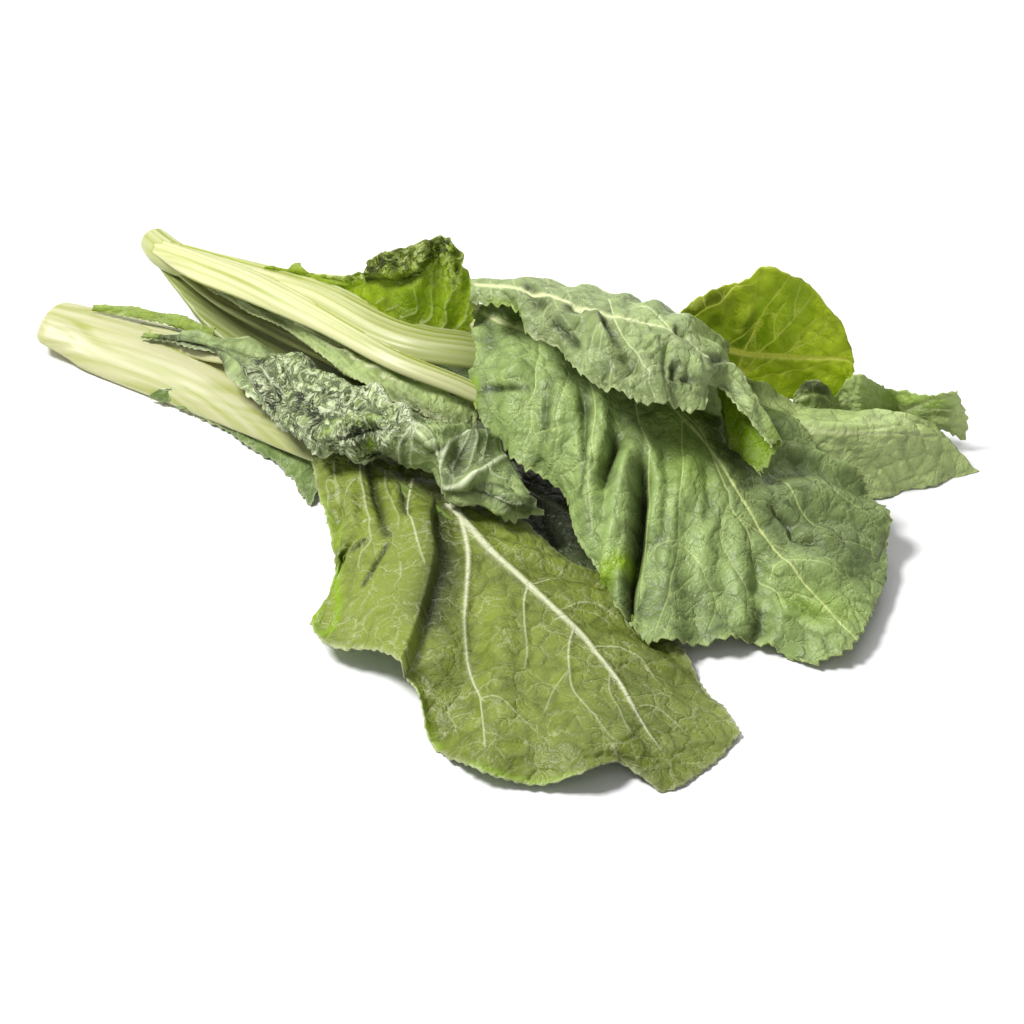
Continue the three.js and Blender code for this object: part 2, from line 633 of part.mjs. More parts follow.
// Stalk: a crescent section, ribbed lengthwise on its arched side, with rounded ends
function stalkSolid(stalk, grow = 0) {
  const curve = curveThrough(stalk.path.map(toPoint));
  const stationsPerSpan = stalk.ribbed ? RIBBED_STATIONS_PER_SPAN : PLAIN_STATIONS_PER_SPAN;
  const spans = (stalk.path.length - 1) * stationsPerSpan;
  const places = steps(spans).map((t) => ({ t, scale: 1, ahead: 0 }));
  places.unshift({ t: 0, scale: 0.6, ahead: -STALK_END_ROUNDING });
  places.push({ t: 1, scale: 0.5, ahead: STALK_END_ROUNDING });
  const sides = stalk.ribbed ? RIBBED_STALK_SIDES : PLAIN_STALK_SIDES;
  const stations = places.map(({ t, scale, ahead }) => {
    const width = between(stalk.widths, t) * scale + 2 * grow;
    const thickness = between(stalk.widths, t) * stalk.flat * scale + 2 * grow;
    const forward = curve.getTangent(t);
    const across = new THREE.Vector3().crossVectors(forward, new THREE.Vector3(0, 0, 1)).normalize();
    const up = new THREE.Vector3().crossVectors(across, forward).normalize();
    const centre = curve.getPoint(t).addScaledVector(forward, ahead * (between(stalk.widths, t) + 2 * grow));
    const ring = [];
    for (let k = 0; k < sides; k += 1) {
      const angle = (2 * Math.PI * k) / sides;
      const arch = stalk.bow * width * Math.sin(angle) ** 2;
      const onArch = Math.sign(stalk.bow) * Math.sin(angle) > 0.3 && stalk.ribbed;
      const fade = 1 - blend(0.1, 0.8, t);
      const rib = onArch ? RIB_HEIGHT * (k % 2 === 0 ? 1 : -1) * fade * scale : 0;
      const point = centre.clone();
      point.addScaledVector(across, (Math.cos(angle) * width) / 2);
      point.addScaledVector(up, (Math.sin(angle) * thickness) / 2 + arch + rib);
      point.z = Math.max(point.z, RESTING_LEVEL - grow);
      ring.push(point);
    }
    centre.z = Math.max(centre.z, RESTING_LEVEL + 1);
    return { centre, ring };
  });
  return sweptSolid(stations, sides);
}

// Raised side vein of a leaf, sunk through its blade and rooted in the midrib
function veinSolid(leaf, vein, grow = 0) {
  const sheet = smoothSheet(leaf.net);
  const stations = steps(VEIN_STEPS).map((t) => {
    const placeOn = (s) => {
      const out = vein.across * s;
      const u = vein.from + vein.forward * s ** 1.3;
      const v = leaf.rib + out * (out < 0 ? leaf.rib : 1 - leaf.rib);
      const point = sheet(u, v);
      point.z += relief(leaf, u, v);
      return point;
    };
    const ahead = placeOn(Math.min(t + 0.02, 1));
    const forward = ahead.clone().sub(placeOn(Math.max(t - 0.02, 0))).normalize();
    const across = new THREE.Vector3().crossVectors(forward, new THREE.Vector3(0, 0, 1)).normalize();
    const up = new THREE.Vector3().crossVectors(across, forward);
    const radius = THREE.MathUtils.lerp(VEIN_ROOT_WIDTH, VEIN_TIP_WIDTH, t) / 2 + grow;
    const centre = placeOn(t).addScaledVector(up, VEIN_RISE);
    const ring = steps(VEIN_SIDES).slice(0, VEIN_SIDES).map((share) => {
      const angle = 2 * Math.PI * share;
      const point = centre.clone().addScaledVector(across, Math.cos(angle) * radius);
      return point.addScaledVector(up, Math.sin(angle) * radius);
    });
    return { centre, ring };
  });
  return sweptSolid(stations, VEIN_SIDES);
}

function joined(solids) {
  return solids.reduce((whole, solid) => whole.add(solid));
}

// A cut can leave loose scraps, which are dropped
function largestBody(solid) {
  const bodies = solid.decompose();
  bodies.sort((a, b) => b.volume() - a.volume());
  return bodies[0].simplify(CUT_TOLERANCE);
}

const broadLeaf = LEAVES[0];

function frontStalks(grow) {
  const stalks = FRONT_HEAD.map((stalk) => stalkSolid(stalk, grow));
  const veins = FRONT_SIDE_VEINS.map((vein) => veinSolid(broadLeaf, vein, grow));
  return joined([...stalks, ...veins]);
}

function backStalks(grow) {
  return joined(BACK_HEAD.map((stalk) => stalkSolid(stalk, grow)));
}

const solids = new Map();
solids.set("front_head_stalks", largestBody(frontStalks(0)));
solids.set("back_head_stalks", largestBody(backStalks(0).subtract(frontStalks(NEIGHBOUR_GAP))));
const stalkRoom = frontStalks(NEIGHBOUR_GAP).add(backStalks(NEIGHBOUR_GAP));
for (const leaf of LEAVES) {
  let blade = bladeSolid(leaf).subtract(stalkRoom);
  for (const neighbour of leaf.trim) {
    const other = LEAVES.find((each) => each.name === neighbour);
    blade = blade.subtract(bladeSolid(other, LEAF_GAP));
  }
  solids.set(leaf.name, largestBody(blade));
}

const colours = new Map(LEAVES.map((leaf) => [leaf.name, leaf.colour]));
colours.set("front_head_stalks", PALE_STALK);
colours.set("back_head_stalks", YELLOW_STALK);

function meshFrom(name, solid) {
  const { vertProperties, triVerts } = solid.getMesh();
  const geometry = new THREE.BufferGeometry();
  geometry.setAttribute("position", new THREE.BufferAttribute(vertProperties, 3));
  geometry.setIndex(new THREE.BufferAttribute(triVerts, 1));
  const material = new THREE.MeshStandardMaterial({
    color: colours.get(name),
    roughness: 0.6,
    metalness: 0,
    side: THREE.DoubleSide,
  });
  const mesh = new THREE.Mesh(mergeVertices(geometry, 1e-4), material);
  mesh.name = name;
  return mesh;
}

// The bunch is turned so that its length lies along X, with the origin under its middle
const bunch = new THREE.Group();
bunch.name = "mustard_bunch";
for (const [name, solid] of solids) bunch.add(meshFrom(name, solid));
bunch.rotation.z = BUNCH_TURN;
bunch.updateMatrixWorld(true);
const box = new THREE.Box3().setFromObject(bunch, true);
bunch.position.set(-(box.min.x + box.max.x) / 2, -(box.min.y + box.max.y) / 2, -box.min.z);
bunch.updateMatrixWorld(true);

export default bunch;
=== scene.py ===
"""Bunch of leaf mustard: two cut heads of broad, crumpled leaves, lying together on a pale floor.

Leaves are nets of points in the bunch's own layout, in millimetres: rows from base to tip, each row
from margin to margin. A smooth sheet through the net is pleated between its side veins, ruffled,
puckered and toothed, and turned into the frame in metres. Stalks are swept along their paths.
"""
import math

import bpy
import numpy as np
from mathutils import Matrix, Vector


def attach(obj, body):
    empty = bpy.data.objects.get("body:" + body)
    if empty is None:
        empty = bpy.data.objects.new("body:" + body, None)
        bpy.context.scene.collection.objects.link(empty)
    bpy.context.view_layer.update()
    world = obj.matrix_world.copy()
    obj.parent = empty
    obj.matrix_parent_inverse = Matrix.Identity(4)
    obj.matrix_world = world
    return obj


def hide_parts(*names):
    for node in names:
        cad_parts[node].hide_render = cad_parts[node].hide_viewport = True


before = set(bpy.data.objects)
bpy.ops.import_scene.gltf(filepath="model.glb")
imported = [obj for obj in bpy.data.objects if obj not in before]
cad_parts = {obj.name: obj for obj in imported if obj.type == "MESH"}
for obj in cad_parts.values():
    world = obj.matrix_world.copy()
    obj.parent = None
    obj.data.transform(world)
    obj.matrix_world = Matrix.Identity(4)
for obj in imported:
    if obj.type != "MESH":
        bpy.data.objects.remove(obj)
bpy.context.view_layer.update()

bl_info = {
    "name": "Bunch of leaf mustard",
    "version": (1, 0, 0),
    "blender": (4, 5, 0),
    "location": "View3D > Sidebar > Mustard",
    "description": "Adds the leaves and stalks of a bunch of leaf mustard round its frame",
    "category": "Add Mesh",
}

MM = 0.001

# The layout is turned and moved so that the bunch lies along X with its box's middle over the origin
LAYOUT_TURN = math.radians(35)
LAYOUT_SHIFT = (46.3929, -11.9367, 0.0)

# View of the photograph: level of the eye, distance and lens, and how far the camera sees in metres
VIEW_ELEVATION = math.radians(35)
VIEW_DISTANCE = 1500
VIEW_LENS = 114.64
SENSOR_WIDTH = 36
VIEW_END = 20

# Lights: place in the layout in millimetres, width in metres and watts
LIGHTS = [
    ("window", (-975, -65, 1560), 0.5, 42),
    ("window_behind", (300, 1100, 900), 1.2, 10),
    ("front_fill", (0, -1200, 900), 1.5, 2.6),
]
WORLD_LIGHT = 0.22

# Least height of the skin over the surface, and the length that the UV map's 0 to 1 stands for
LOWEST_SKIN = 0.3
UV_SPAN = 300

# Sizes are in millimetres from here on, and steps and shares have no unit.
# Steps along each side of a table of random values, after which they repeat
TABLE_SIZE = 64
# Step along a curve or sheet that gives its direction, as a share of its length
NUDGE = 1e-3
# How far from its middle a vein is drawn, and a fold or a tint, in reaches
VEIN_REACH = 7
FADE_REACH = 2.2
# A fold that ends this far out or further runs over the margin, as a share of the half width
AT_MARGIN = 0.85
# Widths of the patches that bend the net of cushions, make it uneven and mottle it
BEND_PATCH = 14
UNEVEN_PATCH = 26
TONE_PATCH = 24
# Margins: teeth in the random row, where a tooth's point stands, depth of the teeth's pull on the blade
MOST_TEETH = 200
TOOTH_LEAN = 0.72
TEETH_REACH = 5.0
# Lobes of the margins: length, height, and depth of their pull on the blade
LOBE_LENGTH = 17
LOBE_HEIGHT = 2.5
LOBE_REACH = 9
# Width of the pale line along a margin
EDGE_WIDTH = 0.9
# Stalks: spacing of the sections, points round a section, angles of the sections that round an end,
# length of the rounding over the width, length of a bend of the ribs, and gap in the UV map between sides
STALK_STEP = 2.2
STALK_SIDES = 48
STALK_END_ANGLES = [0, 20, 38, 54, 68, 80, 90]
STALK_END_LENGTH = 0.22
RIB_PATCH = 90
UNDERSIDE_SHIFT = 60
# Points of a stalk that lie closer than this become one
WELD_GAP = 0.002
# Seeds of the random draws: of the first leaf, step from leaf to leaf, of the first stalk
LEAF_SEED = 3
SEEDS_PER_LEAF = 20
STALK_SEED = 300
# Width of the leaf skin's blotches, specks, grains and ridges, and how far its net of veins is bent
BLOTCH = 16
SPECK = 1.8
GRAIN = 1.6
RIDGE = 5
NET_BEND = 16
# Nets of small veins: name, width of a cell over the finest net's, and the gaps from a border within
# which a vein shows in full (in cells) and beyond which it is gone (in cells, times the net_cell size)
VEIN_NETS = (("coarse", 2.4, 0.01, 0.22), ("fine", 1, 0.02, 0.38))
# Stripes and fibres of the stalks: length, width, detail, roughness
STRIPES = (130, 4.5, 3, 0.55)
FIBRES = (40, 0.9, 2, 0.6)
# Painted green where a blade is so thin or so lit from behind that it glows, and green of the light through
# it
PAINTED_GLOW_GREEN = "#86a800"
PASSED_GREEN = "#b9d83a"
# Floor: width in metres, and colour
FLOOR_SIZE = 8
PAPER_WHITE = "#f0f0f0"

# Kinds of node that the skins use most
MATH = "ShaderNodeMath"
MIX = "ShaderNodeMix"
RANGE = "ShaderNodeMapRange"
NOISE = "ShaderNodeTexNoise"
VORONOI = "ShaderNodeTexVoronoi"
PRINCIPLED = "ShaderNodeBsdfPrincipled"

# Leaves, with paths in shares of length and half width.
# net: rows of points from base to tip, each row from margin to margin.
# rib: share of the width where the midrib runs. midrib: 1 where the blade shows it, 0 where it doesn't.
# pleats: folds between side veins (count, slant towards the tip, depth, start, stagger of the far half).
# ruffle: waves of the margin (count, height, phase). crumple: depth of uneven folds.
# teeth: width, height. upper: 1 where the upper side faces the net's normal, -1 where the underside does.
# cell: mesh spacing. pucker: width and height of the cushions between the small veins.
# crinkle: width and height of sharp crinkles, half-width shares where they begin and are full, and
# their start and end along the leaf.
# vein: half width of a side vein. veins: half width at root and tip, and path.
# skins: of the side that faces the net's normal, then of the other. slot: the piece's material slot.
# creases: reach to the right and left of the path, height, and path.
# tints: kind (dark ones are painted shade, bright ones painted light shining through), reach, share and
# path.
LEAVES = {
    "front_broad_leaf": {
        "net": [
            [[-94, 28, 12], [-89, 19, 18], [-82, 15, 21], [-74, 17, 21], [-67, 24, 18]],
            [[-84, -23, 12], [-77, -14, 19], [-67, 2, 23], [-56, 11, 20], [-47, 17, 16]],
            [[-78, -77, 12], [-70, -49, 19], [-58, -19, 22], [-46, 0, 19], [-34, 9, 15]],
            [[-84, -109, 9], [-73, -70, 17], [-49, -25, 21], [-35, -8, 18], [-20, 0, 14]],
            [[-60, -125, 13], [-48, -88, 19], [-32, -32, 20], [-19, -23, 18], [-5, -21, 15]],
            [[-42, -148, 12], [-31, -110, 18], [-14, -56, 20], [4, -46, 17], [18, -42, 12]],
            [[-32, -173, 4], [-17, -128, 13], [1, -75, 18], [21, -64, 16], [39, -62, 10]],
            [[-17, -191, 5], [-3, -150, 14], [16, -99, 17], [35, -79, 14], [50, -79, 8]],
            [[1, -200, 6], [16, -170, 14], [32, -123, 15], [49, -100, 11], [62, -99, 5]],
            [[28, -201, 9], [36, -184, 13], [47, -144, 12], [61, -123, 8], [75, -118, 4]],
            [[45, -192, 8], [51, -181, 11], [59, -155, 9], [72, -141, 6], [85, -139, 2]],
            [[61, -201, 0], [69, -198, 1], [79, -188, 1], [88, -177, 1], [96, -164, 2]],
        ],
        "rib": 0.5, "midrib": 0, "pleats": (6.7, 0.17, 2.2, -0.48, 0.5), "ruffle": (5, 3, 1), "crumple": 0,
        "teeth": (5, 0.9), "upper": -1, "cell": 0.8, "pucker": (11, 0.6), "vein": 1.1,
        "skins": ("olive_underside", "blue_upper_side"), "slot": "olive_leaf",
        "veins": [
            (2.5, 0.35, [(0.36, 0.16), (0.46, 0.03), (0.57, 0.02), (0.69, 0.04), (0.74, 0.02),
             (0.82, -0.04), (0.91, -0.26), (0.95, -0.33)]),
            (0.93, 0.43, [(0.39, 0.1), (0.44, -0.08), (0.47, -0.23), (0.5, -0.39), (0.54, -0.53),
             (0.57, -0.59), (0.6, -0.63), (0.63, -0.75), (0.65, -0.86)]),
            (0.43, 0.28, [(0.6, -0.63), (0.64, -0.58), (0.67, -0.58), (0.71, -0.6)]),
            (0.62, 0.31, [(0.58, 0), (0.59, -0.08), (0.61, -0.16), (0.64, -0.26), (0.65, -0.34)]),
            (0.62, 0.31, [(0.69, 0.02), (0.7, -0.09), (0.72, -0.2), (0.74, -0.28), (0.77, -0.32),
             (0.81, -0.37), (0.85, -0.48)]),
            (0.37, 0.28, [(0.72, -0.2), (0.71, -0.34), (0.71, -0.45)]),
            (0.37, 0.28, [(0.78, 0.03), (0.8, -0.13), (0.84, -0.23), (0.89, -0.45)]),
            (0.5, 0.28, [(0.58, 0), (0.59, 0.17), (0.59, 0.38), (0.61, 0.57)]),
            (0.5, 0.28, [(0.74, 0.07), (0.77, 0.23), (0.81, 0.34), (0.87, 0.33)]),
            (0.37, 0.28, [(0.65, 0.06), (0.66, 0.25), (0.68, 0.4), (0.71, 0.5)]),
            (0.37, 0.28, [(0.89, -0.11), (0.92, 0.04), (0.96, 0.14)]),
            (0.56, 0.31, [(0.06, 0.06), (0.1, -0.14), (0.13, -0.2), (0.17, -0.25), (0.25, -0.26),
             (0.29, -0.32), (0.29, -0.4), (0.3, -0.48)]),
            (0.35, 0.28, [(0.1, -0.18), (0.1, -0.34), (0.11, -0.49)]),
            (0.37, 0.28, [(0.02, -0.2), (0.06, -0.49), (0.09, -0.63)]),
            (0.37, 0.28, [(0.12, 0.24), (0.17, 0.08), (0.23, -0.02), (0.3, -0.15), (0.32, -0.23)]),
            (0.68, 0.37, [(0.19, 0.49), (0.27, 0.08), (0.31, -0.1), (0.34, -0.2), (0.36, -0.27),
             (0.37, -0.3), (0.39, -0.35)]),
            (0.35, 0.28, [(0.35, -0.4), (0.36, -0.47), (0.36, -0.54)]),
        ],
        "creases": [
            (26, 1.2, 9, [(0.27, 0.5), (0.34, 0.02), (0.36, -0.13), (0.39, -0.24), (0.4, -0.3),
             (0.41, -0.44), (0.42, -0.63), (0.43, -0.9)]),
            (2, 2, -3.5, [(0.07, 0.07), (0.13, -0.02), (0.18, -0.1), (0.26, -0.17), (0.31, -0.28)]),
            (2, 2, -3, [(0.14, 0.5), (0.25, 0.1), (0.31, -0.1), (0.33, -0.19)]),
            (1.2, 5, 2, [(0.13, -0.99), (0.18, -0.69), (0.27, -0.38), (0.28, -0.32)]),
            (1, 1, -2.2, [(0.32, -0.32), (0.32, -0.42), (0.32, -0.58)]),
            (2.5, 2.5, 1.2, [(0.17, 0.26), (0.26, -0.02), (0.31, -0.18)]),
            (3, 3, 1.5, [(0.07, -0.18), (0.12, -0.39), (0.17, -0.46)]),
            (1.5, 1.5, -2, [(0.08, -0.97), (0.11, -0.84), (0.12, -0.63)]),
            (6, 6, -3, [(0.38, 0), (0.42, -0.2), (0.46, -0.4), (0.48, -0.67)]),
            (6, 6, 2, [(0.52, -0.17), (0.58, -0.34), (0.63, -0.53), (0.68, -0.76)]),
            (6, 6, -2, [(0.66, -0.16), (0.7, -0.37), (0.74, -0.64)]),
            (6, 6, 2, [(0.76, -0.16), (0.79, -0.38), (0.83, -0.77)]),
            (4, 4, -2, [(0.46, -0.9), (0.55, -0.93)]),
            (5, 5, 2, [(0.66, 0.48), (0.66, 0.94), (0.73, 0.97)]),
        ],
        "tints": [
            ("glow", 2.0, 0.9, [(0.06, -1), (0.12, -1), (0.18, -1), (0.27, -1)]),
            ("glow", 2.5, 0.7, [(0.46, -0.99), (0.5, -0.99), (0.55, -0.99)]),
            ("glow", 2, 0.8, [(0.64, -0.99), (0.7, -0.98), (0.76, -0.99), (0.81, -0.99)]),
            ("deep", 8, 0.75, [(0.31, 0.33), (0.38, -0.09), (0.41, -0.22), (0.42, -0.36), (0.43, -0.53)]),
            ("deep", 2.5, 0.8, [(0.07, 0.07), (0.13, -0.02), (0.18, -0.1), (0.26, -0.17), (0.31, -0.28)]),
            ("deep", 2.5, 0.7, [(0.11, 0.59), (0.18, 0.34), (0.25, 0.1), (0.31, -0.1)]),
            ("deep", 1.2, 0.9, [(0.32, -0.32), (0.32, -0.42), (0.32, -0.58)]),
            ("deep", 1.8, 0.6, [(0.14, -0.97), (0.18, -0.69), (0.27, -0.39), (0.28, -0.34)]),
            ("deep", 30, 0.22, [(0.9, -0.6), (0.88, 0), (0.85, 0.6)]),
            ("deep", 6, 0.5, [(0.08, 0.15), (0.11, 0.62), (0.22, 0.57)]),
        ],
    },
    "front_crumpled_leaf": {
        "net": [
            [[-182, 122, 18], [-181, 122, 19], [-180, 121, 20], [-179, 123, 20], [-179, 125, 19]],
            [[-161, 111, 22], [-159, 110, 24], [-157, 108, 26], [-156, 110, 26], [-154, 113, 25]],
            [[-136, 84, 27], [-134, 80, 33], [-131, 79, 37], [-127, 82, 38], [-124, 94, 33]],
            [[-116, 40, 28], [-114, 40, 38], [-110, 44, 45], [-105, 56, 46], [-100, 77, 36]],
            [[-97, 12, 31], [-95, 12, 43], [-90, 20, 51], [-84, 37, 51], [-80, 48, 38]],
            [[-81, -2, 30], [-75, -6, 44], [-68, 1, 53], [-62, 19, 51], [-59, 29, 36]],
            [[-62, 0, 29], [-57, -9, 46], [-49, -8, 53], [-43, 5, 50], [-40, 15, 35]],
            [[-42, -11, 32], [-38, -20, 45], [-33, -17, 51], [-27, 1, 46], [-24, 12, 34]],
            [[-22, -30, 26], [-21, -34, 39], [-17, -20, 40], [-17, 3, 43], [-15, 17, 32]],
            [[0, -38, 22], [-1, -39, 32], [-1, -30, 36], [-3, -1, 31], [-3, 12, 26]],
            [[13, -34, 24], [11, -33, 28], [8, -30, 31], [5, -23, 31], [4, -13, 28]],
        ],
        "rib": 0.5, "midrib": 0, "pleats": (9, 0.12, 2, 0, 0), "ruffle": (9, 2.5, 2), "crumple": 2.2,
        "teeth": (5, 2.2), "upper": -1, "cell": 0.74,
        "crinkle": (8, 3.2, -2, -1.5, 0.2, 0.68), "pucker": (9, 0.5), "vein": 0.8,
        "skins": ("grey_underside", "blue_upper_side"), "slot": "grey_leaf",
        "veins": [
            (0.8, 0.4, [(0.66, -0.48), (0.68, -0.61), (0.7, -0.69)]),
            (0.8, 0.5, [(0.58, -0.26), (0.58, -0.46), (0.6, -0.7)]),
            (0.6, 0.4, [(0.63, -0.06), (0.68, -0.16), (0.71, -0.27), (0.73, -0.42)]),
            (1.3, 1.6, [(0.48, 0.4), (0.51, 0.35), (0.56, 0.26), (0.6, 0.13), (0.63, 0.05)]),
            (0.8, 0.5, [(0.63, 0.05), (0.63, -0.24), (0.64, -0.59), (0.66, -0.96)]),
            (0.7, 0.4, [(0.64, 0.04), (0.65, -0.26), (0.67, -0.69), (0.69, -0.97)]),
            (0.7, 0.4, [(0.64, 0.07), (0.68, -0.02), (0.71, -0.22), (0.73, -0.46), (0.75, -0.81)]),
            (0.8, 0.5, [(0.6, -0.17), (0.6, -0.46), (0.61, -0.85)]),
            (1.5, 1.1, [(0.76, -0.83), (0.78, -0.66), (0.8, -0.5), (0.82, -0.2), (0.84, 0.08),
                        (0.9, 0.48)]),
            (0.9, 0.5, [(0.83, -0.01), (0.86, 0.02), (0.91, 0.15)]),
            (1.0, 0.9, [(0.78, 0.52), (0.73, 0.26), (0.73, -0.3), (0.74, -0.65), (0.76, -0.83)]),
            (0.4, 0.3, [(0.79, 0.53), (0.77, 0.18), (0.76, -0.18), (0.77, -0.51)]),
            (0.4, 0.3, [(0.8, 0.5), (0.8, 0.25), (0.79, 0.01), (0.79, -0.32)]),
            (0.4, 0.3, [(0.82, 0.54), (0.83, 0.34), (0.82, 0.12)]),
            (0.7, 0.4, [(0.26, 0.06), (0.3, -0.1), (0.33, -0.22), (0.35, -0.41), (0.37, -0.57),
             (0.4, -0.78)]),
            (0.8, 0.4, [(0.43, 0.04), (0.46, 0.06), (0.48, 0.14), (0.48, 0.34), (0.46, 0.61)]),
            (0.7, 0.4, [(0.44, -0.15), (0.47, -0.1), (0.49, 0.02)]),
            (0.7, 0.4, [(0.81, -0.87), (0.84, -0.81), (0.87, -0.85)]),
            (0.6, 0.4, [(0.85, -0.37), (0.89, -0.47), (0.93, -0.47)]),
        ],
        "creases": [
            (2, 2, 1.5, [(0.63, -0.06), (0.68, -0.16), (0.71, -0.27), (0.73, -0.42)]),
            (2, 2, -2, [(0.7, -0.53), (0.71, -0.3), (0.72, -0.08)]),
            (2, 2, 1.5, [(0.61, -0.19), (0.61, -0.43), (0.63, -0.83)]),
            (5, 5, -3.5, [(0.79, 0.3), (0.77, 0.1), (0.77, -0.32), (0.77, -0.55)]),
            (3, 3, 2, [(0.76, -0.83), (0.78, -0.66), (0.8, -0.5), (0.82, -0.2), (0.84, 0.08), (0.9, 0.48)]),
            (2, 2, 1.5, [(0.8, 0.5), (0.8, 0.25), (0.79, 0.01), (0.79, -0.32)]),
            (3, 3, 3, [(0.8, -0.85), (0.83, -0.82), (0.88, -0.79), (0.91, -0.63)]),
            (3, 3, -4, [(0.81, -0.53), (0.84, -0.47), (0.88, -0.44)]),
            (4, 3, 5, [(0.48, 0.45), (0.51, 0.4), (0.55, 0.3), (0.59, 0.21), (0.63, 0.11)]),
            (2.5, 2.5, 4, [(0.45, -0.57), (0.47, -0.28), (0.5, -0.13), (0.55, -0.04), (0.59, -0.01)]),
            (3, 3, -4, [(0.5, -0.43), (0.54, -0.3), (0.58, -0.28)]),
            (3, 3, -3, [(0.37, -0.12), (0.41, -0.29), (0.43, -0.44)]),
            (3, 3, -3, [(0.24, -0.09), (0.28, -0.2), (0.31, -0.46)]),
        ],
        "tints": [
            ("deep", 1.5, 0.7, [(0.7, -0.53), (0.71, -0.3), (0.72, -0.08)]),
            ("deep", 1.5, 0.6, [(0.64, -0.15), (0.68, -0.32), (0.72, -0.5)]),
            ("deep", 1.5, 0.5, [(0.63, -0.3), (0.65, -0.59), (0.67, -0.93)]),
            ("deep", 2, 0.6, [(0.78, -0.78), (0.82, -0.63), (0.87, -0.4)]),
            ("deep", 1.5, 0.6, [(0.83, -0.35), (0.86, -0.17), (0.91, -0.04)]),
            ("glow", 2.0, 0.35, [(0.45, -0.59), (0.46, -0.4), (0.48, -0.26), (0.5, -0.13),
             (0.53, -0.05), (0.56, 0)]),
            ("glow", 1.8, 0.8, [(0.57, -0.72), (0.57, -0.59), (0.59, -0.72)]),
            ("glow", 2, 0.5, [(0.01, -0.02), (0.02, 0.03), (0.03, 0)]),
            ("deep", 7, 0.7, [(0.8, 0.43), (0.77, 0.12), (0.77, -0.32), (0.77, -0.55)]),
            ("deep", 6, 0.65, [(0.85, 0.46), (0.84, 0.29), (0.82, 0.07)]),
            ("deep", 2.5, 0.8, [(0.82, -0.55), (0.85, -0.48), (0.88, -0.45)]),
            ("deep", 5, 0.7, [(0.91, -0.54), (0.95, -0.51), (0.99, -0.38)]),
            ("deep", 3, 0.7, [(0.5, -0.43), (0.52, -0.3), (0.56, -0.25)]),
            ("deep", 3, 0.8, [(0.04, -0.14), (0.09, -0.31), (0.13, -0.44), (0.17, -0.67), (0.21, -0.93)]),
            ("deep", 3.5, 0.6, [(0.22, -0.26), (0.26, -0.33), (0.29, -0.48), (0.32, -0.61)]),
            ("deep", 2.5, 0.6, [(0.37, -0.07), (0.4, -0.24), (0.43, -0.37)]),
            ("deep", 3, 0.6, [(0.16, -0.06), (0.21, 0.12), (0.26, 0.16)]),
        ],
    },
    "front_under_leaf": {
        "net": [
            [[-176, 93, 3], [-174, 92, 5], [-171, 92, 7], [-168, 91, 9]],
            [[-160, 84, 2], [-158, 84, 5], [-156, 87, 8], [-154, 88, 11]],
            [[-143, 71, 1], [-141, 73, 4], [-139, 75, 7], [-136, 77, 9]],
            [[-124, 50, 1], [-121, 52, 4], [-119, 54, 7], [-115, 56, 9]],
            [[-103, 27, 1], [-100, 30, 5], [-97, 34, 8], [-94, 38, 10]],
            [[-93, 3, 1], [-90, 9, 5], [-86, 16, 8], [-83, 23, 10]],
        ],
        "rib": 0.9, "pleats": (5, 0.1, 0.6, 0, 0), "ruffle": (6, 1, 0), "crumple": 0,
        "teeth": (5, 1.5), "upper": 1, "cell": 0.8, "pucker": (8, 0.4), "vein": 0.6,
        "skins": ("grey_upper_side", "grey_underside"), "slot": "grey_leaf",
    },
    "front_inner_leaf": {
        "net": [
            [[-208, 149, 17], [-207, 149, 19], [-207, 150, 20]],
            [[-185, 138, 20], [-184, 140, 22], [-183, 142, 23]],
            [[-164, 125, 22], [-162, 126, 25], [-161, 129, 26]],
            [[-148, 111, 24], [-146, 111, 28], [-145, 113, 30]],
            [[-133, 99, 27], [-132, 99, 31], [-130, 100, 33]],
        ],
        "rib": 0.0, "midrib": 0, "pleats": (4, 0.1, 0.5, 0, 0), "ruffle": (4, 0.6, 1), "crumple": 0,
        "teeth": (4, 0.5), "upper": 1, "cell": 0.7, "pucker": (6, 0.3), "vein": 0.5,
        "skins": ("light_underside", "light_underside"), "slot": "light_leaf",
    },
    "back_draped_leaf": {
        "net": [
            [[-18, 25, 44], [-20, 38, 52], [-19, 53, 60], [-16, 68, 66], [-12, 72, 70], [-9, 78, 70]],
            [[-5, 1, 36], [0, 5, 50], [4, 19, 61], [10, 43, 68], [17, 56, 70], [22, 66, 67]],
            [[22, -29, 27], [24, -17, 43], [28, 0, 57], [36, 28, 66], [43, 42, 68], [51, 55, 64]],
            [[41, -84, 16], [41, -58, 31], [46, -24, 48], [62, 9, 60], [74, 25, 58], [89, 48, 50]],
            [[58, -114, 13], [62, -83, 22], [68, -48, 40], [84, -13, 50], [103, 8, 44], [125, 24, 36]],
            [[83, -110, 9], [86, -92, 15], [90, -67, 29], [100, -42, 40], [125, -12, 38], [152, -8, 30]],
            [[106, -107, 6], [108, -96, 12], [112, -79, 19], [115, -66, 26], [139, -48, 28], [168,
             -26, 18]],
            [[119, -111, 1], [130, -118, 3], [140, -117, 7], [149, -110, 9], [156, -92, 9], [166, -64, 8]],
        ],
        "rib": 0.6, "pleats": (9, 0.05, 3.2, 0, 0), "ruffle": (7, 3, 0), "crumple": 0.6,
        "teeth": (5, 2), "upper": 1, "cell": 0.84, "pucker": (13, 0.7), "vein": 0.55,
        "skins": ("blue_upper_side", "light_underside"), "slot": "blue_leaf",
        "veins": [
            (0.5, 0.28, [(0.16, -0.04), (0.17, -0.11), (0.17, -0.21), (0.18, -0.34), (0.17, -0.48),
             (0.15, -0.66), (0.14, -0.88)]),
            (0.37, 0.28, [(0.18, -0.52), (0.19, -0.66), (0.19, -0.84), (0.21, -0.99)]),
            (0.35, 0.28, [(0.14, -0.16), (0.12, -0.24), (0.11, -0.36), (0.08, -0.48), (0.06, -0.58)]),
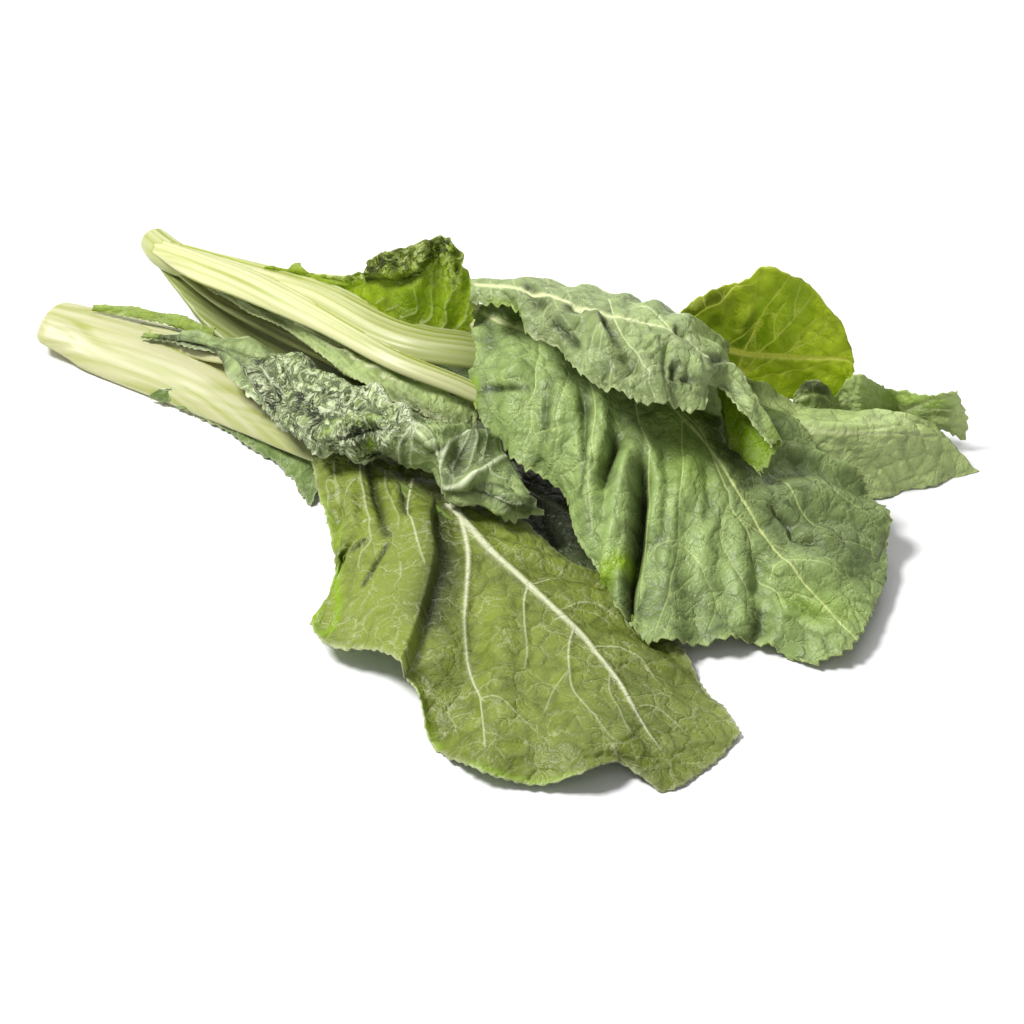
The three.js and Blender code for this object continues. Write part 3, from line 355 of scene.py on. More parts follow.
            (0.5, 0.28, [(0.23, -0.12), (0.25, -0.17), (0.25, -0.29), (0.25, -0.46), (0.26, -0.55),
             (0.26, -0.65), (0.26, -0.83), (0.25, -0.99)]),
            (0.35, 0.28, [(0.26, -0.54), (0.22, -0.63), (0.2, -0.75), (0.2, -0.91)]),
            (0.56, 0.31, [(0.26, -0.1), (0.29, -0.12), (0.31, -0.16), (0.33, -0.21), (0.35, -0.29),
             (0.36, -0.39), (0.38, -0.47), (0.37, -0.55), (0.38, -0.65), (0.39, -0.78)]),
            (0.35, 0.28, [(0.37, -0.55), (0.34, -0.68), (0.3, -0.88)]),
            (0.35, 0.28, [(0.37, -0.42), (0.34, -0.53), (0.31, -0.67), (0.28, -0.83)]),
            (0.62, 0.31, [(0.42, -0.1), (0.45, -0.16), (0.48, -0.2), (0.5, -0.23), (0.52, -0.31),
             (0.54, -0.41), (0.54, -0.5), (0.54, -0.59), (0.54, -0.7), (0.54, -0.82)]),
            (0.5, 0.28, [(0.51, 0.03), (0.55, -0.1), (0.58, -0.18), (0.6, -0.3), (0.61, -0.36),
             (0.62, -0.45), (0.62, -0.53), (0.61, -0.62), (0.61, -0.71), (0.6, -0.83), (0.59, -0.94)]),
            (0.37, 0.28, [(0.62, -0.45), (0.61, -0.46), (0.57, -0.52), (0.55, -0.58)]),
            (0.37, 0.28, [(0.62, -0.45), (0.65, -0.45), (0.68, -0.48), (0.7, -0.54), (0.72, -0.59),
             (0.73, -0.69), (0.72, -0.86)]),
            (0.35, 0.28, [(0.61, -0.71), (0.63, -0.66), (0.65, -0.59), (0.67, -0.54)]),
            (0.62, 0.37, [(0.49, 0.05), (0.53, 0.06), (0.57, 0.05), (0.61, 0), (0.67, -0.04),
             (0.7, -0.05), (0.72, -0.09), (0.76, -0.09), (0.8, -0.11), (0.82, -0.28), (0.84, -0.38),
             (0.88, -0.38), (0.9, -0.47)]),
            (0.37, 0.28, [(0.71, -0.1), (0.71, -0.19), (0.72, -0.29), (0.75, -0.35), (0.79, -0.46),
             (0.81, -0.53), (0.82, -0.7)]),
            (0.43, 0.28, [(0.76, -0.08), (0.81, -0.02), (0.85, 0.03), (0.87, 0.1)]),
            (0.43, 0.28, [(0.72, 0.32), (0.76, 0.35), (0.81, 0.37), (0.84, 0.4), (0.86, 0.45),
             (0.89, 0.52), (0.9, 0.62), (0.92, 0.79)]),
            (0.37, 0.28, [(0.75, 0.35), (0.77, 0.53), (0.79, 0.62), (0.82, 0.72), (0.85, 0.83)]),
            (0.43, 0.28, [(0.86, -0.31), (0.88, 0), (0.91, 0.26), (0.94, 0.41), (0.98, 0.57)]),
            (0.37, 0.28, [(0.88, -0.37), (0.91, -0.16), (0.93, -0.06), (0.96, 0.02), (0.98, 0.09)]),
        ],
        "creases": [
            (4, 2.5, -12, [(0.49, -0.23), (0.51, -0.34), (0.52, -0.45), (0.52, -0.57), (0.52, -0.67),
             (0.51, -0.83), (0.5, -0.99)]),
            (4, 4, 5, [(0.47, -0.2), (0.46, -0.29), (0.46, -0.38), (0.45, -0.48), (0.45, -0.59),
             (0.44, -0.72), (0.43, -0.91)]),
            (3, 6, 5, [(0.46, -0.16), (0.5, -0.22), (0.54, -0.31), (0.54, -0.46), (0.55, -0.57)]),
            (2.5, 2.5, -4, [(0.41, -0.24), (0.42, -0.31), (0.41, -0.43), (0.41, -0.57)]),
            (3.5, 3.5, 3, [(0.32, -0.14), (0.36, -0.23), (0.39, -0.33), (0.4, -0.46)]),
            (2.5, 2.5, -3.5, [(0.29, -0.19), (0.32, -0.34), (0.34, -0.52), (0.35, -0.74)]),
            (4, 4, 2.5, [(0.26, -0.2), (0.29, -0.34), (0.31, -0.53), (0.3, -0.79)]),
            (2.5, 2.5, -3, [(0.21, -0.23), (0.22, -0.43), (0.23, -0.69), (0.23, -0.96)]),
            (1.5, 1.5, -2.5, [(0.06, -0.63), (0.11, -0.5), (0.16, -0.38)]),
            (3, 3, 2, [(0.15, -0.19), (0.12, -0.33), (0.08, -0.46)]),
            (5, 5, 3.5, [(0.54, -0.04), (0.59, -0.12), (0.61, -0.23), (0.62, -0.34)]),
            (3, 3, -3, [(0.51, -0.15), (0.56, -0.27), (0.58, -0.41), (0.58, -0.57)]),
            (3, 3, -3, [(0.6, -0.04), (0.64, -0.11), (0.67, -0.21), (0.67, -0.38)]),
            (1.5, 3, -4, [(0.77, 0.15), (0.81, 0.21), (0.84, 0.24), (0.86, 0.21), (0.88, 0.31),
             (0.89, 0.41)]),
            (5, 5, 3, [(0.78, 0.24), (0.83, 0.34), (0.87, 0.42), (0.89, 0.57)]),
            (4, 4, -3, [(0.73, 0.25), (0.79, 0.31), (0.84, 0.37), (0.88, 0.48)]),
            (5, 5, 3, [(0.86, -0.33), (0.89, 0), (0.91, 0.24), (0.95, 0.52)]),
            (3, 3, -3, [(0.87, -0.41), (0.92, -0.24), (0.99, 0.01)]),
            (3, 3, -2.5, [(0.81, -0.16), (0.83, -0.34), (0.83, -0.57)]),
        ],
        "tints": [
            ("glow", 14, 0.35, [(0.51, 0.01), (0.55, -0.08), (0.59, -0.14)]),
            ("glow", 5, 0.9, [(0.43, -0.92), (0.46, -0.78), (0.49, -0.71)]),
            ("glow", 10, 0.35, [(0.92, -0.21), (0.96, 0.1)]),
            ("glow", 3.5, 0.7, [(0.02, -0.73), (0.01, -0.89), (0.01, -0.96)]),
            ("deep", 3, 0.8, [(0.5, -0.29), (0.52, -0.41), (0.53, -0.52), (0.52, -0.65), (0.51,
                              -0.79), (0.5, -0.98)]),
            ("deep", 10, 0.8, [(0.53, 0.23), (0.59, 0.16), (0.66, 0.13), (0.7, 0.12)]),
            ("deep", 3, 0.6, [(0.41, -0.25), (0.42, -0.34), (0.41, -0.43)]),
            ("deep", 2.5, 0.6, [(0.3, -0.2), (0.33, -0.34), (0.34, -0.5), (0.35, -0.7)]),
            ("deep", 2, 0.7, [(0.06, -0.65), (0.11, -0.5), (0.16, -0.38)]),
            ("deep", 2.5, 0.7, [(0.77, 0.15), (0.81, 0.21), (0.84, 0.24), (0.86, 0.21), (0.88, 0.31)]),
            ("deep", 5, 0.5, [(0.03, 0.01), (0.04, -0.15), (0.05, -0.26)]),
            ("deep", 3, 0.5, [(0.21, -0.24), (0.22, -0.43), (0.23, -0.65)]),
            ("deep", 22, 0.45, [(0.74, 0.2), (0.8, 0.25), (0.86, 0.4), (0.9, 0.6)]),
            ("deep", 12, 0.25, [(0.66, -0.63), (0.74, -0.69)]),
            ("deep", 30, 0.3, [(0.6, 0.7), (0.75, 0.75), (0.9, 0.7)]),
            ("deep", 16, 0.25, [(0.55, -0.8), (0.6, -0.9), (0.72, -0.9)]),
            ("deep", 3, 0.8, [(0.84, -0.99), (0.85, -0.79), (0.85, -0.64)]),
        ],
    },
    "back_folded_leaf": {
        "net": [
            [[-19, 49, 82], [-19, 50, 87], [-19, 55, 89], [-18, 64, 86], [-14, 76, 76], [-10, 82, 64]],
            [[-2, 37, 88], [-2, 39, 92], [-3, 44, 94], [-2, 56, 91], [4, 73, 78], [10, 83, 62]],
            [[10, 15, 86], [10, 21, 94], [11, 35, 97], [14, 49, 93], [20, 70, 80], [27, 84, 60]],
            [[22, 3, 85], [22, 11, 94], [24, 24, 98], [27, 39, 94], [34, 66, 80], [40, 81, 58]],
            [[35, -22, 84], [35, -4, 93], [38, 16, 98], [42, 36, 94], [47, 62, 79], [54, 78, 56]],
            [[46, -28, 83], [47, -11, 92], [50, 12, 97], [54, 34, 92], [60, 56, 78], [68, 72, 56]],
            [[59, -33, 81], [60, -18, 91], [63, 10, 95], [67, 32, 91], [73, 51, 76], [81, 66, 56]],
            [[70, -29, 79], [71, -18, 89], [75, 6, 92], [79, 27, 87], [85, 46, 74], [91, 58, 59]],
            [[81, -29, 75], [83, -20, 83], [86, -2, 86], [90, 19, 80], [94, 31, 71], [99, 43, 60]],
            [[89, -7, 75], [92, -4, 77], [99, 2, 78], [101, 9, 71], [98, 16, 66], [92, 20, 58]],
            [[105, -20, 65], [108, -17, 66], [112, -14, 66], [110, -14, 57], [100, -13, 50], [98, -12, 46]],
            [[115, -28, 55], [117, -26, 55], [120, -23, 55], [117, -26, 50], [111, -32, 44], [111,
             -33, 42]],
        ],
        "rib": 0.4, "pleats": (8, 0.06, 1.8, 0, 0), "ruffle": (7, 2, 1), "crumple": 0.6,
        "teeth": (5, 1.8), "upper": 1, "cell": 0.78, "pucker": (10, 0.9), "vein": 0.6,
        "skins": ("pale_upper_side", "light_underside"), "slot": "blue_leaf",
        "veins": [
            (0.43, 0.28, [(0.05, 0.18), (0.05, -0.21), (0.05, -0.69)]),
            (0.37, 0.28, [(0.11, 0.22), (0.12, 0), (0.13, -0.23)]),
            (0.5, 0.28, [(0.2, 0.23), (0.23, 0.06), (0.24, -0.08), (0.26, -0.26)]),
            (0.43, 0.28, [(0.27, 0.23), (0.28, 0.12), (0.29, -0.01)]),
            (0.56, 0.31, [(0.38, 0.29), (0.41, 0.07), (0.44, -0.13), (0.46, -0.23), (0.48, -0.31),
             (0.51, -0.39), (0.53, -0.51), (0.55, -0.58), (0.55, -0.72), (0.57, -0.89)]),
            (0.35, 0.28, [(0.51, -0.38), (0.54, -0.3), (0.56, -0.22)]),
            (0.35, 0.28, [(0.42, 0.04), (0.4, -0.15), (0.4, -0.36), (0.39, -0.59)]),
            (0.74, 0.37, [(0.49, 0.24), (0.54, 0.16), (0.57, 0.1), (0.59, 0.04), (0.61, -0.02),
             (0.64, -0.04), (0.66, 0.03), (0.69, 0.02), (0.71, 0.01), (0.72, -0.04), (0.73, -0.19)]),
            (0.35, 0.28, [(0.62, -0.13), (0.6, -0.23), (0.6, -0.39), (0.61, -0.54), (0.61, -0.77),
             (0.62, -0.94)]),
            (0.35, 0.28, [(0.66, 0.03), (0.67, 0.14), (0.69, 0.14)]),
            (0.35, 0.28, [(0.68, -0.31), (0.68, -0.42), (0.69, -0.52)]),
            (0.35, 0.28, [(0.44, -0.66), (0.43, -0.83), (0.43, -0.97)]),
            (0.35, 0.28, [(0.51, -0.48), (0.49, -0.67), (0.49, -0.83)]),
            (0.35, 0.28, [(0.38, -0.29), (0.36, -0.52), (0.36, -0.75)]),
        ],
        "creases": [
            (2.5, 2.5, -4, [(0.23, -0.46), (0.27, -0.57), (0.31, -0.63), (0.33, -0.71)]),
            (3, 3, -3, [(0.14, 0.11), (0.17, -0.05), (0.19, -0.21), (0.19, -0.43)]),
            (2.5, 2.5, -3, [(0.28, -0.05), (0.31, -0.06), (0.33, -0.03)]),
            (3.5, 1.2, 4, [(0.35, 0.08), (0.38, -0.17), (0.41, -0.36), (0.46, -0.46)]),
            (3, 3, -4, [(0.38, 0.02), (0.41, -0.19), (0.44, -0.34)]),
            (1.3, 1.3, -2, [(0.62, -0.14), (0.6, -0.24), (0.6, -0.39), (0.61, -0.57), (0.61, -0.8)]),
            (2, 2, -4, [(0.64, -0.39), (0.64, -0.55), (0.64, -0.71)]),
            (2.5, 2.5, -3.5, [(0.66, -0.62), (0.68, -0.52), (0.7, -0.44)]),
            (3, 3, -3, [(0.74, -0.02), (0.77, 0.01), (0.79, 0.22)]),
            (2, 2, -3, [(0.61, 0.06), (0.64, 0.02), (0.66, 0.09)]),
            (3, 3, -3, [(0.46, -0.46), (0.49, -0.55), (0.51, -0.67)]),
            (3, 3, 2.5, [(0.53, -0.11), (0.56, -0.21), (0.57, -0.42)]),
            (2, 2, -2.5, [(0.52, -0.36), (0.55, -0.3), (0.56, -0.21)]),
            (3, 3, 2, [(0.68, -0.16), (0.71, -0.24), (0.72, -0.54)]),
            (3, 3, 2.5, [(0.35, -0.26), (0.35, -0.56), (0.36, -0.85)]),
            (2, 2, -2, [(0.4, -0.65), (0.42, -0.82), (0.42, -0.97)]),
        ],
        "tints": [
            ("deep", 9, 0.25, [(0.16, -0.03), (0.26, -0.02), (0.34, -0.02)]),
            ("deep", 20, 0.3, [(0.1, -0.5), (0.35, -0.6), (0.6, -0.7)]),
            ("deep", 4, 0.7, [(0.15, 0.09), (0.18, -0.08), (0.21, -0.24)]),
            ("deep", 4, 0.7, [(0.23, -0.46), (0.27, -0.59), (0.31, -0.63)]),
            ("deep", 3, 0.6, [(0.28, -0.11), (0.33, -0.06)]),
            ("deep", 5, 0.6, [(0.38, -0.03), (0.41, -0.21), (0.44, -0.36)]),
            ("deep", 5, 0.6, [(0.74, -0.06), (0.77, 0.01), (0.79, 0.21)]),
            ("deep", 3, 0.7, [(0.64, -0.4), (0.64, -0.72)]),
            ("deep", 3, 0.7, [(0.66, -0.6), (0.7, -0.46)]),
            ("deep", 3, 0.5, [(0.61, 0.05), (0.64, 0.02)]),
            ("glow", 2, 0.8, [(0.05, -0.96), (0.1, -0.97), (0.13, -0.94)]),
            ("glow", 12, 1.0, [(0.84, 0.91), (0.88, 0.58), (0.93, 0.47), (0.98, 0.42)]),
        ],
    },
    "back_curled_leaf": {
        "net": [
            [[-120, 120, 58], [-119, 119, 59], [-119, 120, 59], [-118, 119, 60], [-118, 120, 60]],
            [[-104, 111, 59], [-104, 112, 60], [-103, 112, 61], [-103, 112, 62], [-102, 113, 62]],
            [[-88, 103, 59], [-88, 103, 61], [-87, 102, 63], [-86, 102, 64], [-85, 102, 65]],
            [[-75, 90, 59], [-74, 92, 62], [-74, 91, 66], [-72, 91, 70], [-71, 91, 74]],
            [[-63, 75, 59], [-63, 77, 67], [-62, 78, 76], [-63, 77, 85], [-62, 79, 92]],
            [[-50, 63, 59], [-50, 66, 69], [-49, 67, 80], [-48, 68, 91], [-48, 72, 99]],
            [[-36, 59, 58], [-35, 63, 69], [-34, 66, 81], [-33, 69, 93], [-30, 75, 103]],
            [[-26, 59, 57], [-26, 61, 66], [-25, 62, 76], [-24, 64, 86], [-23, 66, 94]],
            [[-20, 59, 56], [-19, 59, 64], [-18, 59, 71], [-18, 60, 78], [-18, 62, 84]],
        ],
        "rib": 0.0, "midrib": 0, "pleats": (5, 0.1, 0.8, 0, 0), "ruffle": (9, 2.5, 0), "crumple": 1,
        "teeth": (6, 1.2), "upper": -1, "cell": 0.7,
        "crinkle": (7, 2.6, 0.45, 0.8, 0.2, 0.95), "pucker": (9, 0.4), "vein": 0.5,
        "skins": ("bright_side", "bright_side"), "slot": "light_leaf",
        "veins": [
            (0.62, 0.4, [(0.62, 0.15), (0.65, 0.2), (0.67, 0.24), (0.67, 0.36), (0.66, 0.47)]),
            (0.7, 0.45, [(0.69, 0.12), (0.72, 0.17), (0.73, 0.24), (0.72, 0.47), (0.72, 0.68)]),
            (0.7, 0.45, [(0.78, 0.09), (0.81, 0.21), (0.8, 0.36), (0.83, 0.51), (0.82, 0.79)]),
            (0.74, 0.45, [(0.86, 0.09), (0.94, 0.29), (0.95, 0.46), (1, 0.84)]),
            (0.5, 0.35, [(0.5, 0.2), (0.52, 0.28)]),
            (0.5, 0.35, [(0.55, 0.16), (0.6, 0.28)]),
            (0.4, 0.3, [(0.83, 0.51), (0.86, 0.65), (0.88, 0.82)]),
            (0.4, 0.3, [(0.72, 0.47), (0.75, 0.55), (0.76, 0.64)]),
        ],
        "creases": [
            (2, 2, -3, [(0.41, 0.61), (0.53, 0.5), (0.62, 0.56), (0.67, 0.63), (0.71, 0.71)]),
            (2.5, 2.5, 2.5, [(0.43, 0.75), (0.56, 0.65), (0.64, 0.73), (0.72, 0.8)]),
        ],
        "tints": [
            ("deep", 3, 0.4, [(0.54, 0.25), (0.63, 0.18), (0.71, 0.12), (0.83, 0.09)]),
            ("deep", 4, 0.6, [(0.43, 0.85), (0.54, 0.81), (0.62, 0.89), (0.68, 0.91), (0.73, 0.92)]),
            ("deep", 2, 0.8, [(0.44, 0.64), (0.54, 0.54), (0.62, 0.6), (0.67, 0.67)]),
            ("glow", 7, 0.5, [(0.63, 0.36), (0.7, 0.32), (0.8, 0.33)]),
        ],
    },
    "back_upright_leaf": {
        "net": [
            [[77, 57, 74], [80, 57, 67], [83, 57, 55], [85, 57, 47], [88, 57, 39]],
            [[89, 60, 81], [91, 60, 69], [94, 60, 53], [96, 60, 42], [99, 60, 32]],
            [[104, 61, 85], [106, 61, 70], [109, 61, 48], [112, 61, 36], [114, 61, 26]],
            [[118, 62, 93], [120, 62, 72], [123, 62, 46], [126, 62, 33], [128, 62, 23]],
            [[135, 62, 85], [138, 62, 65], [141, 62, 45], [143, 62, 33], [145, 62, 22]],
            [[150, 61, 69], [153, 61, 57], [155, 61, 45], [156, 61, 35], [157, 61, 25]],
            [[158, 60, 52], [159, 60, 48], [160, 60, 42], [160, 60, 37], [159, 60, 31]],
        ],
        "rib": 0.5, "pleats": (6, 0.25, 0.9, 0, 0), "ruffle": (5, 1.5, 0), "crumple": 0,
        "teeth": (6, 0.8), "upper": -1, "cell": 0.7, "pucker": (10, 0.3), "vein": 0.8,
        "skins": ("lit_side", "lit_side"), "slot": "bright_leaf",
        "veins": [
            (0.68, 0.31, [(0.06, -0.52), (0.16, -0.65), (0.24, -0.72), (0.3, -0.91), (0.34, -0.95),
             (0.41, -0.87), (0.47, -0.88)]),
            (0.37, 0.28, [(0.24, -0.72), (0.25, -0.83), (0.23, -0.94)]),
            (0.37, 0.28, [(0.16, -0.65), (0.15, -0.83), (0.15, -0.93)]),
            (0.74, 0.31, [(0.27, 0.48), (0.33, -0.03), (0.41, -0.28), (0.48, -0.48), (0.55, -0.76),
             (0.59, -0.96)]),
            (0.62, 0.28, [(0.28, 0.53), (0.4, 0.02), (0.51, -0.21), (0.6, -0.47), (0.69, -0.84)]),
            (0.56, 0.28, [(0.28, 0.57), (0.43, 0.18), (0.57, -0.07), (0.67, -0.26), (0.78, -0.59)]),
            (0.5, 0.28, [(0.26, -0.09), (0.33, -0.26), (0.43, -0.36), (0.52, -0.45)]),
            (0.5, 0.28, [(0.3, 0.66), (0.47, 0.41), (0.62, 0.24), (0.78, 0.08)]),
            (0.35, 0.28, [(0.4, 0.02), (0.4, -0.18), (0.46, -0.33)]),
            (0.35, 0.28, [(0.51, -0.21), (0.51, -0.36), (0.56, -0.59)]),
            (0.35, 0.28, [(0.6, -0.47), (0.61, -0.68), (0.64, -0.91)]),
            (0.35, 0.28, [(0.57, -0.07), (0.62, -0.26), (0.7, -0.54)]),
            (0.35, 0.28, [(0.67, -0.26), (0.73, -0.46), (0.78, -0.81)]),
        ],
        "creases": [
            (3, 3, -2.5, [(0.05, -0.78), (0.11, -0.82), (0.2, -0.83)]),
            (2, 2, -2, [(0.19, -0.28), (0.24, -0.46), (0.27, -0.62)]),
            (2.5, 2.5, 2, [(0.12, -0.2), (0.18, -0.4), (0.24, -0.56)]),
            (3, 3, -2.5, [(0.28, -0.1), (0.35, -0.36), (0.4, -0.59)]),
            (3, 3, 1.5, [(0.37, -0.13), (0.44, -0.33), (0.51, -0.61)]),
            (3, 3, -1.5, [(0.47, -0.08), (0.55, -0.3), (0.63, -0.66)]),
            (4, 4, 2, [(0.57, -0.16), (0.64, -0.4), (0.73, -0.78)]),
        ],
        "tints": [
            ("deep", 6, 0.6, [(0.02, -0.66), (0.13, -0.79), (0.22, -0.82)]),
            ("deep", 4, 0.5, [(0.14, -0.28), (0.2, -0.46)]),
            ("deep", 5, 0.5, [(0.28, -0.03), (0.36, -0.35)]),
            ("glow", 14, 0.5, [(0.39, -0.13), (0.51, -0.38), (0.59, -0.68)]),
        ],
    },
    "back_end_leaf": {
        "net": [
            [[107, 23, 12], [106, 27, 22], [106, 32, 31], [107, 39, 37], [107, 52, 40], [108, 66, 30]],
            [[121, 13, 9], [120, 20, 20], [120, 26, 31], [121, 38, 33], [122, 52, 34], [124, 59, 24]],
            [[140, 7, 3], [135, 11, 18], [131, 20, 31], [132, 32, 31], [134, 46, 28], [136, 47, 18]],
            [[169, 11, 1], [163, 16, 16], [157, 20, 30], [157, 29, 31], [159, 42, 28], [160, 46, 18]],
            [[194, 20, 0], [187, 24, 13], [181, 27, 25], [179, 34, 28], [178, 44, 27], [178, 48, 18]],
            [[218, 33, 0], [211, 36, 7], [204, 40, 14], [200, 44, 16], [198, 50, 16], [198, 46, 12]],
        ],
        "rib": 0.4, "pleats": (5, 0.15, 1, 0, 0), "ruffle": (5, 1.5, 2), "crumple": 0,
        "teeth": (7, 0.9), "upper": 1, "cell": 0.8, "pucker": (10, 0.6), "vein": 0.5,
        "skins": ("soft_upper_side", "light_underside"), "slot": "grey_leaf",
        "veins": [
            (0.93, 0.5, [(0.11, 0.26), (0.19, 0.21), (0.29, 0.14), (0.38, 0.12), (0.48, 0.04),
             (0.6, 0.03), (0.74, 0.12)]),
            (0.35, 0.28, [(0.23, 0.2), (0.26, -0.07), (0.31, -0.18), (0.39, -0.26), (0.47, -0.31)]),
            (0.35, 0.28, [(0.4, 0.07), (0.45, -0.11), (0.52, -0.21), (0.63, -0.19), (0.74, -0.12)]),
            (0.35, 0.28, [(0.57, 0.04), (0.64, -0.08), (0.72, -0.27), (0.85, -0.44)]),
            (0.35, 0.28, [(0.31, -0.18), (0.29, -0.38), (0.32, -0.59)]),
            (0.35, 0.28, [(0.45, -0.11), (0.41, -0.33), (0.42, -0.55)]),
            (0.35, 0.28, [(0.63, -0.19), (0.57, -0.45), (0.59, -0.69)]),
            (0.35, 0.28, [(0.72, -0.27), (0.7, -0.53), (0.71, -0.75)]),
            (0.35, 0.28, [(0.14, 0.23), (0.15, -0.06), (0.18, -0.26), (0.24, -0.34)]),
            (0.35, 0.28, [(0.2, -0.01), (0.26, -0.08), (0.26, -0.07)]),
        ],
        "creases": [
            (4, 4, 2.5, [(0.12, 0.3), (0.27, 0.21), (0.4, 0.18), (0.56, 0.11), (0.74, 0.15)]),
            (6, 6, -1.5, [(0.42, -0.19), (0.47, -0.5), (0.48, -0.81)]),
            (6, 6, 1.5, [(0.62, -0.11), (0.71, -0.4), (0.73, -0.77)]),
        ],
        "tints": [
            ("deep", 5, 0.5, [(0.05, 0.56), (0.14, 0.58), (0.22, 0.53)]),
            ("glow", 10, 0.2, [(0.25, -0.26), (0.35, -0.46)]),
        ],
    },
    "back_tip_leaf": {
        "net": [
            [[132, 54, 30], [132, 54, 27], [132, 54, 24], [134, 54, 20]],
            [[137, 50, 39], [137, 50, 34], [137, 50, 28], [138, 50, 22]],
            [[144, 50, 39], [145, 50, 34], [145, 50, 28], [146, 50, 21]],
            [[151, 56, 27], [151, 56, 24], [152, 56, 20], [152, 56, 15]],
            [[156, 54, 36], [157, 54, 30], [158, 54, 22], [159, 54, 15]],
            [[162, 52, 41], [163, 52, 34], [164, 52, 25], [165, 52, 15]],
            [[171, 57, 33], [172, 57, 27], [173, 57, 19], [175, 57, 11]],
            [[179, 62, 26], [180, 62, 21], [181, 62, 14], [182, 62, 6]],
            [[189, 56, 28], [189, 56, 23], [190, 56, 16], [190, 56, 8]],
            [[200, 50, 34], [201, 50, 27], [202, 50, 19], [201, 50, 11]],
            [[208, 50, 34], [211, 50, 26], [214, 50, 17], [214, 50, 6]],
        ],
        "rib": 0.5, "pleats": (3, 0.1, 0.8, 0, 0), "ruffle": (3, 1.5, 1), "crumple": 0,
        "teeth": (5, 1.2), "upper": -1, "cell": 0.7, "pucker": (8, 0.4), "vein": 0.5,
        "skins": ("light_underside", "soft_upper_side"), "slot": "light_leaf",
        "veins": [
            (0.9, 0.5, [(0.76, 0.16), (0.83, -0.32), (0.89, -0.74), (0.96, -1)]),
            (0.5, 0.3, [(0.49, -0.95), (0.46, -0.36), (0.4, 0.11)]),
            (0.5, 0.3, [(0.5, -0.22), (0.56, -0.26), (0.6, -0.24)]),
            (0.5, 0.3, [(0.14, -0.82), (0.14, -0.08), (0.12, 0.66)]),
            (0.5, 0.3, [(0.64, -0.69), (0.67, -0.09), (0.73, 0.3)]),
        ],
        "tints": [
            ("deep", 7, 0.9, [(0.08, -0.87), (0.15, -0.53), (0.2, -0.22)]),
            ("glow", 7, 0.5, [(0.68, -0.46), (0.79, -0.67), (0.88, -0.58)]),
            ("deep", 3, 0.7, [(0.76, 0.64), (0.84, 0.3), (0.92, -0.01)]),
        ],
    },
    "back_far_leaf": {
        "net": [
            [[-78, 96, 24], [-76, 103, 25], [-74, 110, 24], [-72, 118, 20]],
            [[-40, 74, 20], [-36, 94, 22], [-31, 113, 19], [-24, 136, 8]],
            [[5, 70, 14], [10, 97, 17], [15, 122, 14], [24, 152, 3]],
            [[52, 86, 13], [58, 108, 14], [63, 130, 10], [70, 154, 2]],
            [[98, 97, 12], [103, 113, 12], [107, 130, 9], [112, 148, 2]],
            [[130, 106, 5], [134, 117, 5], [137, 126, 4], [138, 136, 2]],
        ],
        "rib": 0.55, "pleats": (6, 0.15, 1.8, 0, 0), "ruffle": (5, 2.5, 1), "crumple": 0.4,
        "teeth": (5, 1.8), "upper": 1, "cell": 1.1, "pucker": (9, 0.8), "vein": 0.7,
        "skins": ("blue_upper_side", "light_underside"), "slot": "blue_leaf",
    },
    "back_near_leaf": {
        "net": [
            [[-160, 139, 49], [-160, 138, 48], [-160, 139, 46]],
            [[-144, 123, 50], [-144, 122, 49], [-144, 121, 46]],
            [[-125, 109, 51], [-126, 107, 48], [-127, 104, 45]],
            [[-107, 94, 51], [-108, 92, 48], [-109, 89, 44]],
            [[-90, 77, 51], [-91, 73, 48], [-92, 68, 44]],
            [[-77, 65, 50], [-78, 59, 47], [-80, 53, 44]],
            [[-64, 53, 50], [-66, 47, 47], [-68, 40, 43]],
            [[-52, 44, 49], [-53, 36, 46], [-56, 29, 42]],
            [[-39, 36, 47], [-41, 28, 44], [-43, 21, 40]],
            [[-27, 31, 44], [-28, 24, 41], [-28, 17, 37]],
            [[-15, 31, 39], [-16, 24, 36], [-16, 19, 32]],
        ],
        "rib": 0.5, "midrib": 0, "pleats": (8, 0.1, 1, 0, 0), "ruffle": (6, 1.5, 0), "crumple": 0.5,
        "teeth": (3.5, 0.7), "upper": 1, "cell": 0.75,
        "crinkle": (6, 1.0, 0.4, 1.2, 0.7, 1.1), "pucker": (6, 0.5), "vein": 0.5,
        "skins": ("near_side", "near_side"), "slot": "grey_leaf",
        "veins": [
            (0.7, 0.3, [(0.1, -0.33), (0.16, -0.49), (0.23, -0.63)]),
            (0.7, 0.3, [(0.21, -0.3), (0.29, -0.48), (0.34, -0.58)]),
            (0.7, 0.3, [(0.34, -0.2), (0.42, -0.44), (0.47, -0.68)]),
            (0.8, 0.4, [(0.43, -0.16), (0.47, -0.29), (0.52, -0.51)]),
            (0.8, 0.4, [(0.53, -0.18), (0.57, -0.37), (0.59, -0.59)]),
            (0.8, 0.4, [(0.59, -0.14), (0.62, -0.25), (0.65, -0.42)]),
            (0.8, 0.4, [(0.65, -0.04), (0.69, -0.19), (0.72, -0.33)]),
        ],
        "creases": [
            (2, 2, -2.5, [(0.59, -0.32), (0.65, -0.36), (0.71, -0.37)]),
            (2, 2, 2, [(0.19, -0.36), (0.27, -0.55)]),
            (2, 2, -2, [(0.32, -0.3), (0.4, -0.59)]),
            (2, 2, 2, [(0.42, -0.28), (0.5, -0.63)]),
            (2, 2, -2, [(0.49, -0.22), (0.55, -0.52)]),
        ],
        "tints": [
            ("deep", 9, 0.5, [(0.02, 0), (0.15, 0), (0.3, 0)]),
            ("deep", 5, 0.5, [(0.7, 0.7), (0.85, 0.8), (0.98, 0.7)]),
            ("deep", 4, 0.4, [(0.26, -0.53), (0.41, -0.62), (0.53, -0.65)]),
        ],
    },
    # Low leaf under the others, painted near black all over: painted shade filling the dark hollow
    "back_low_leaf": {
        "net": [
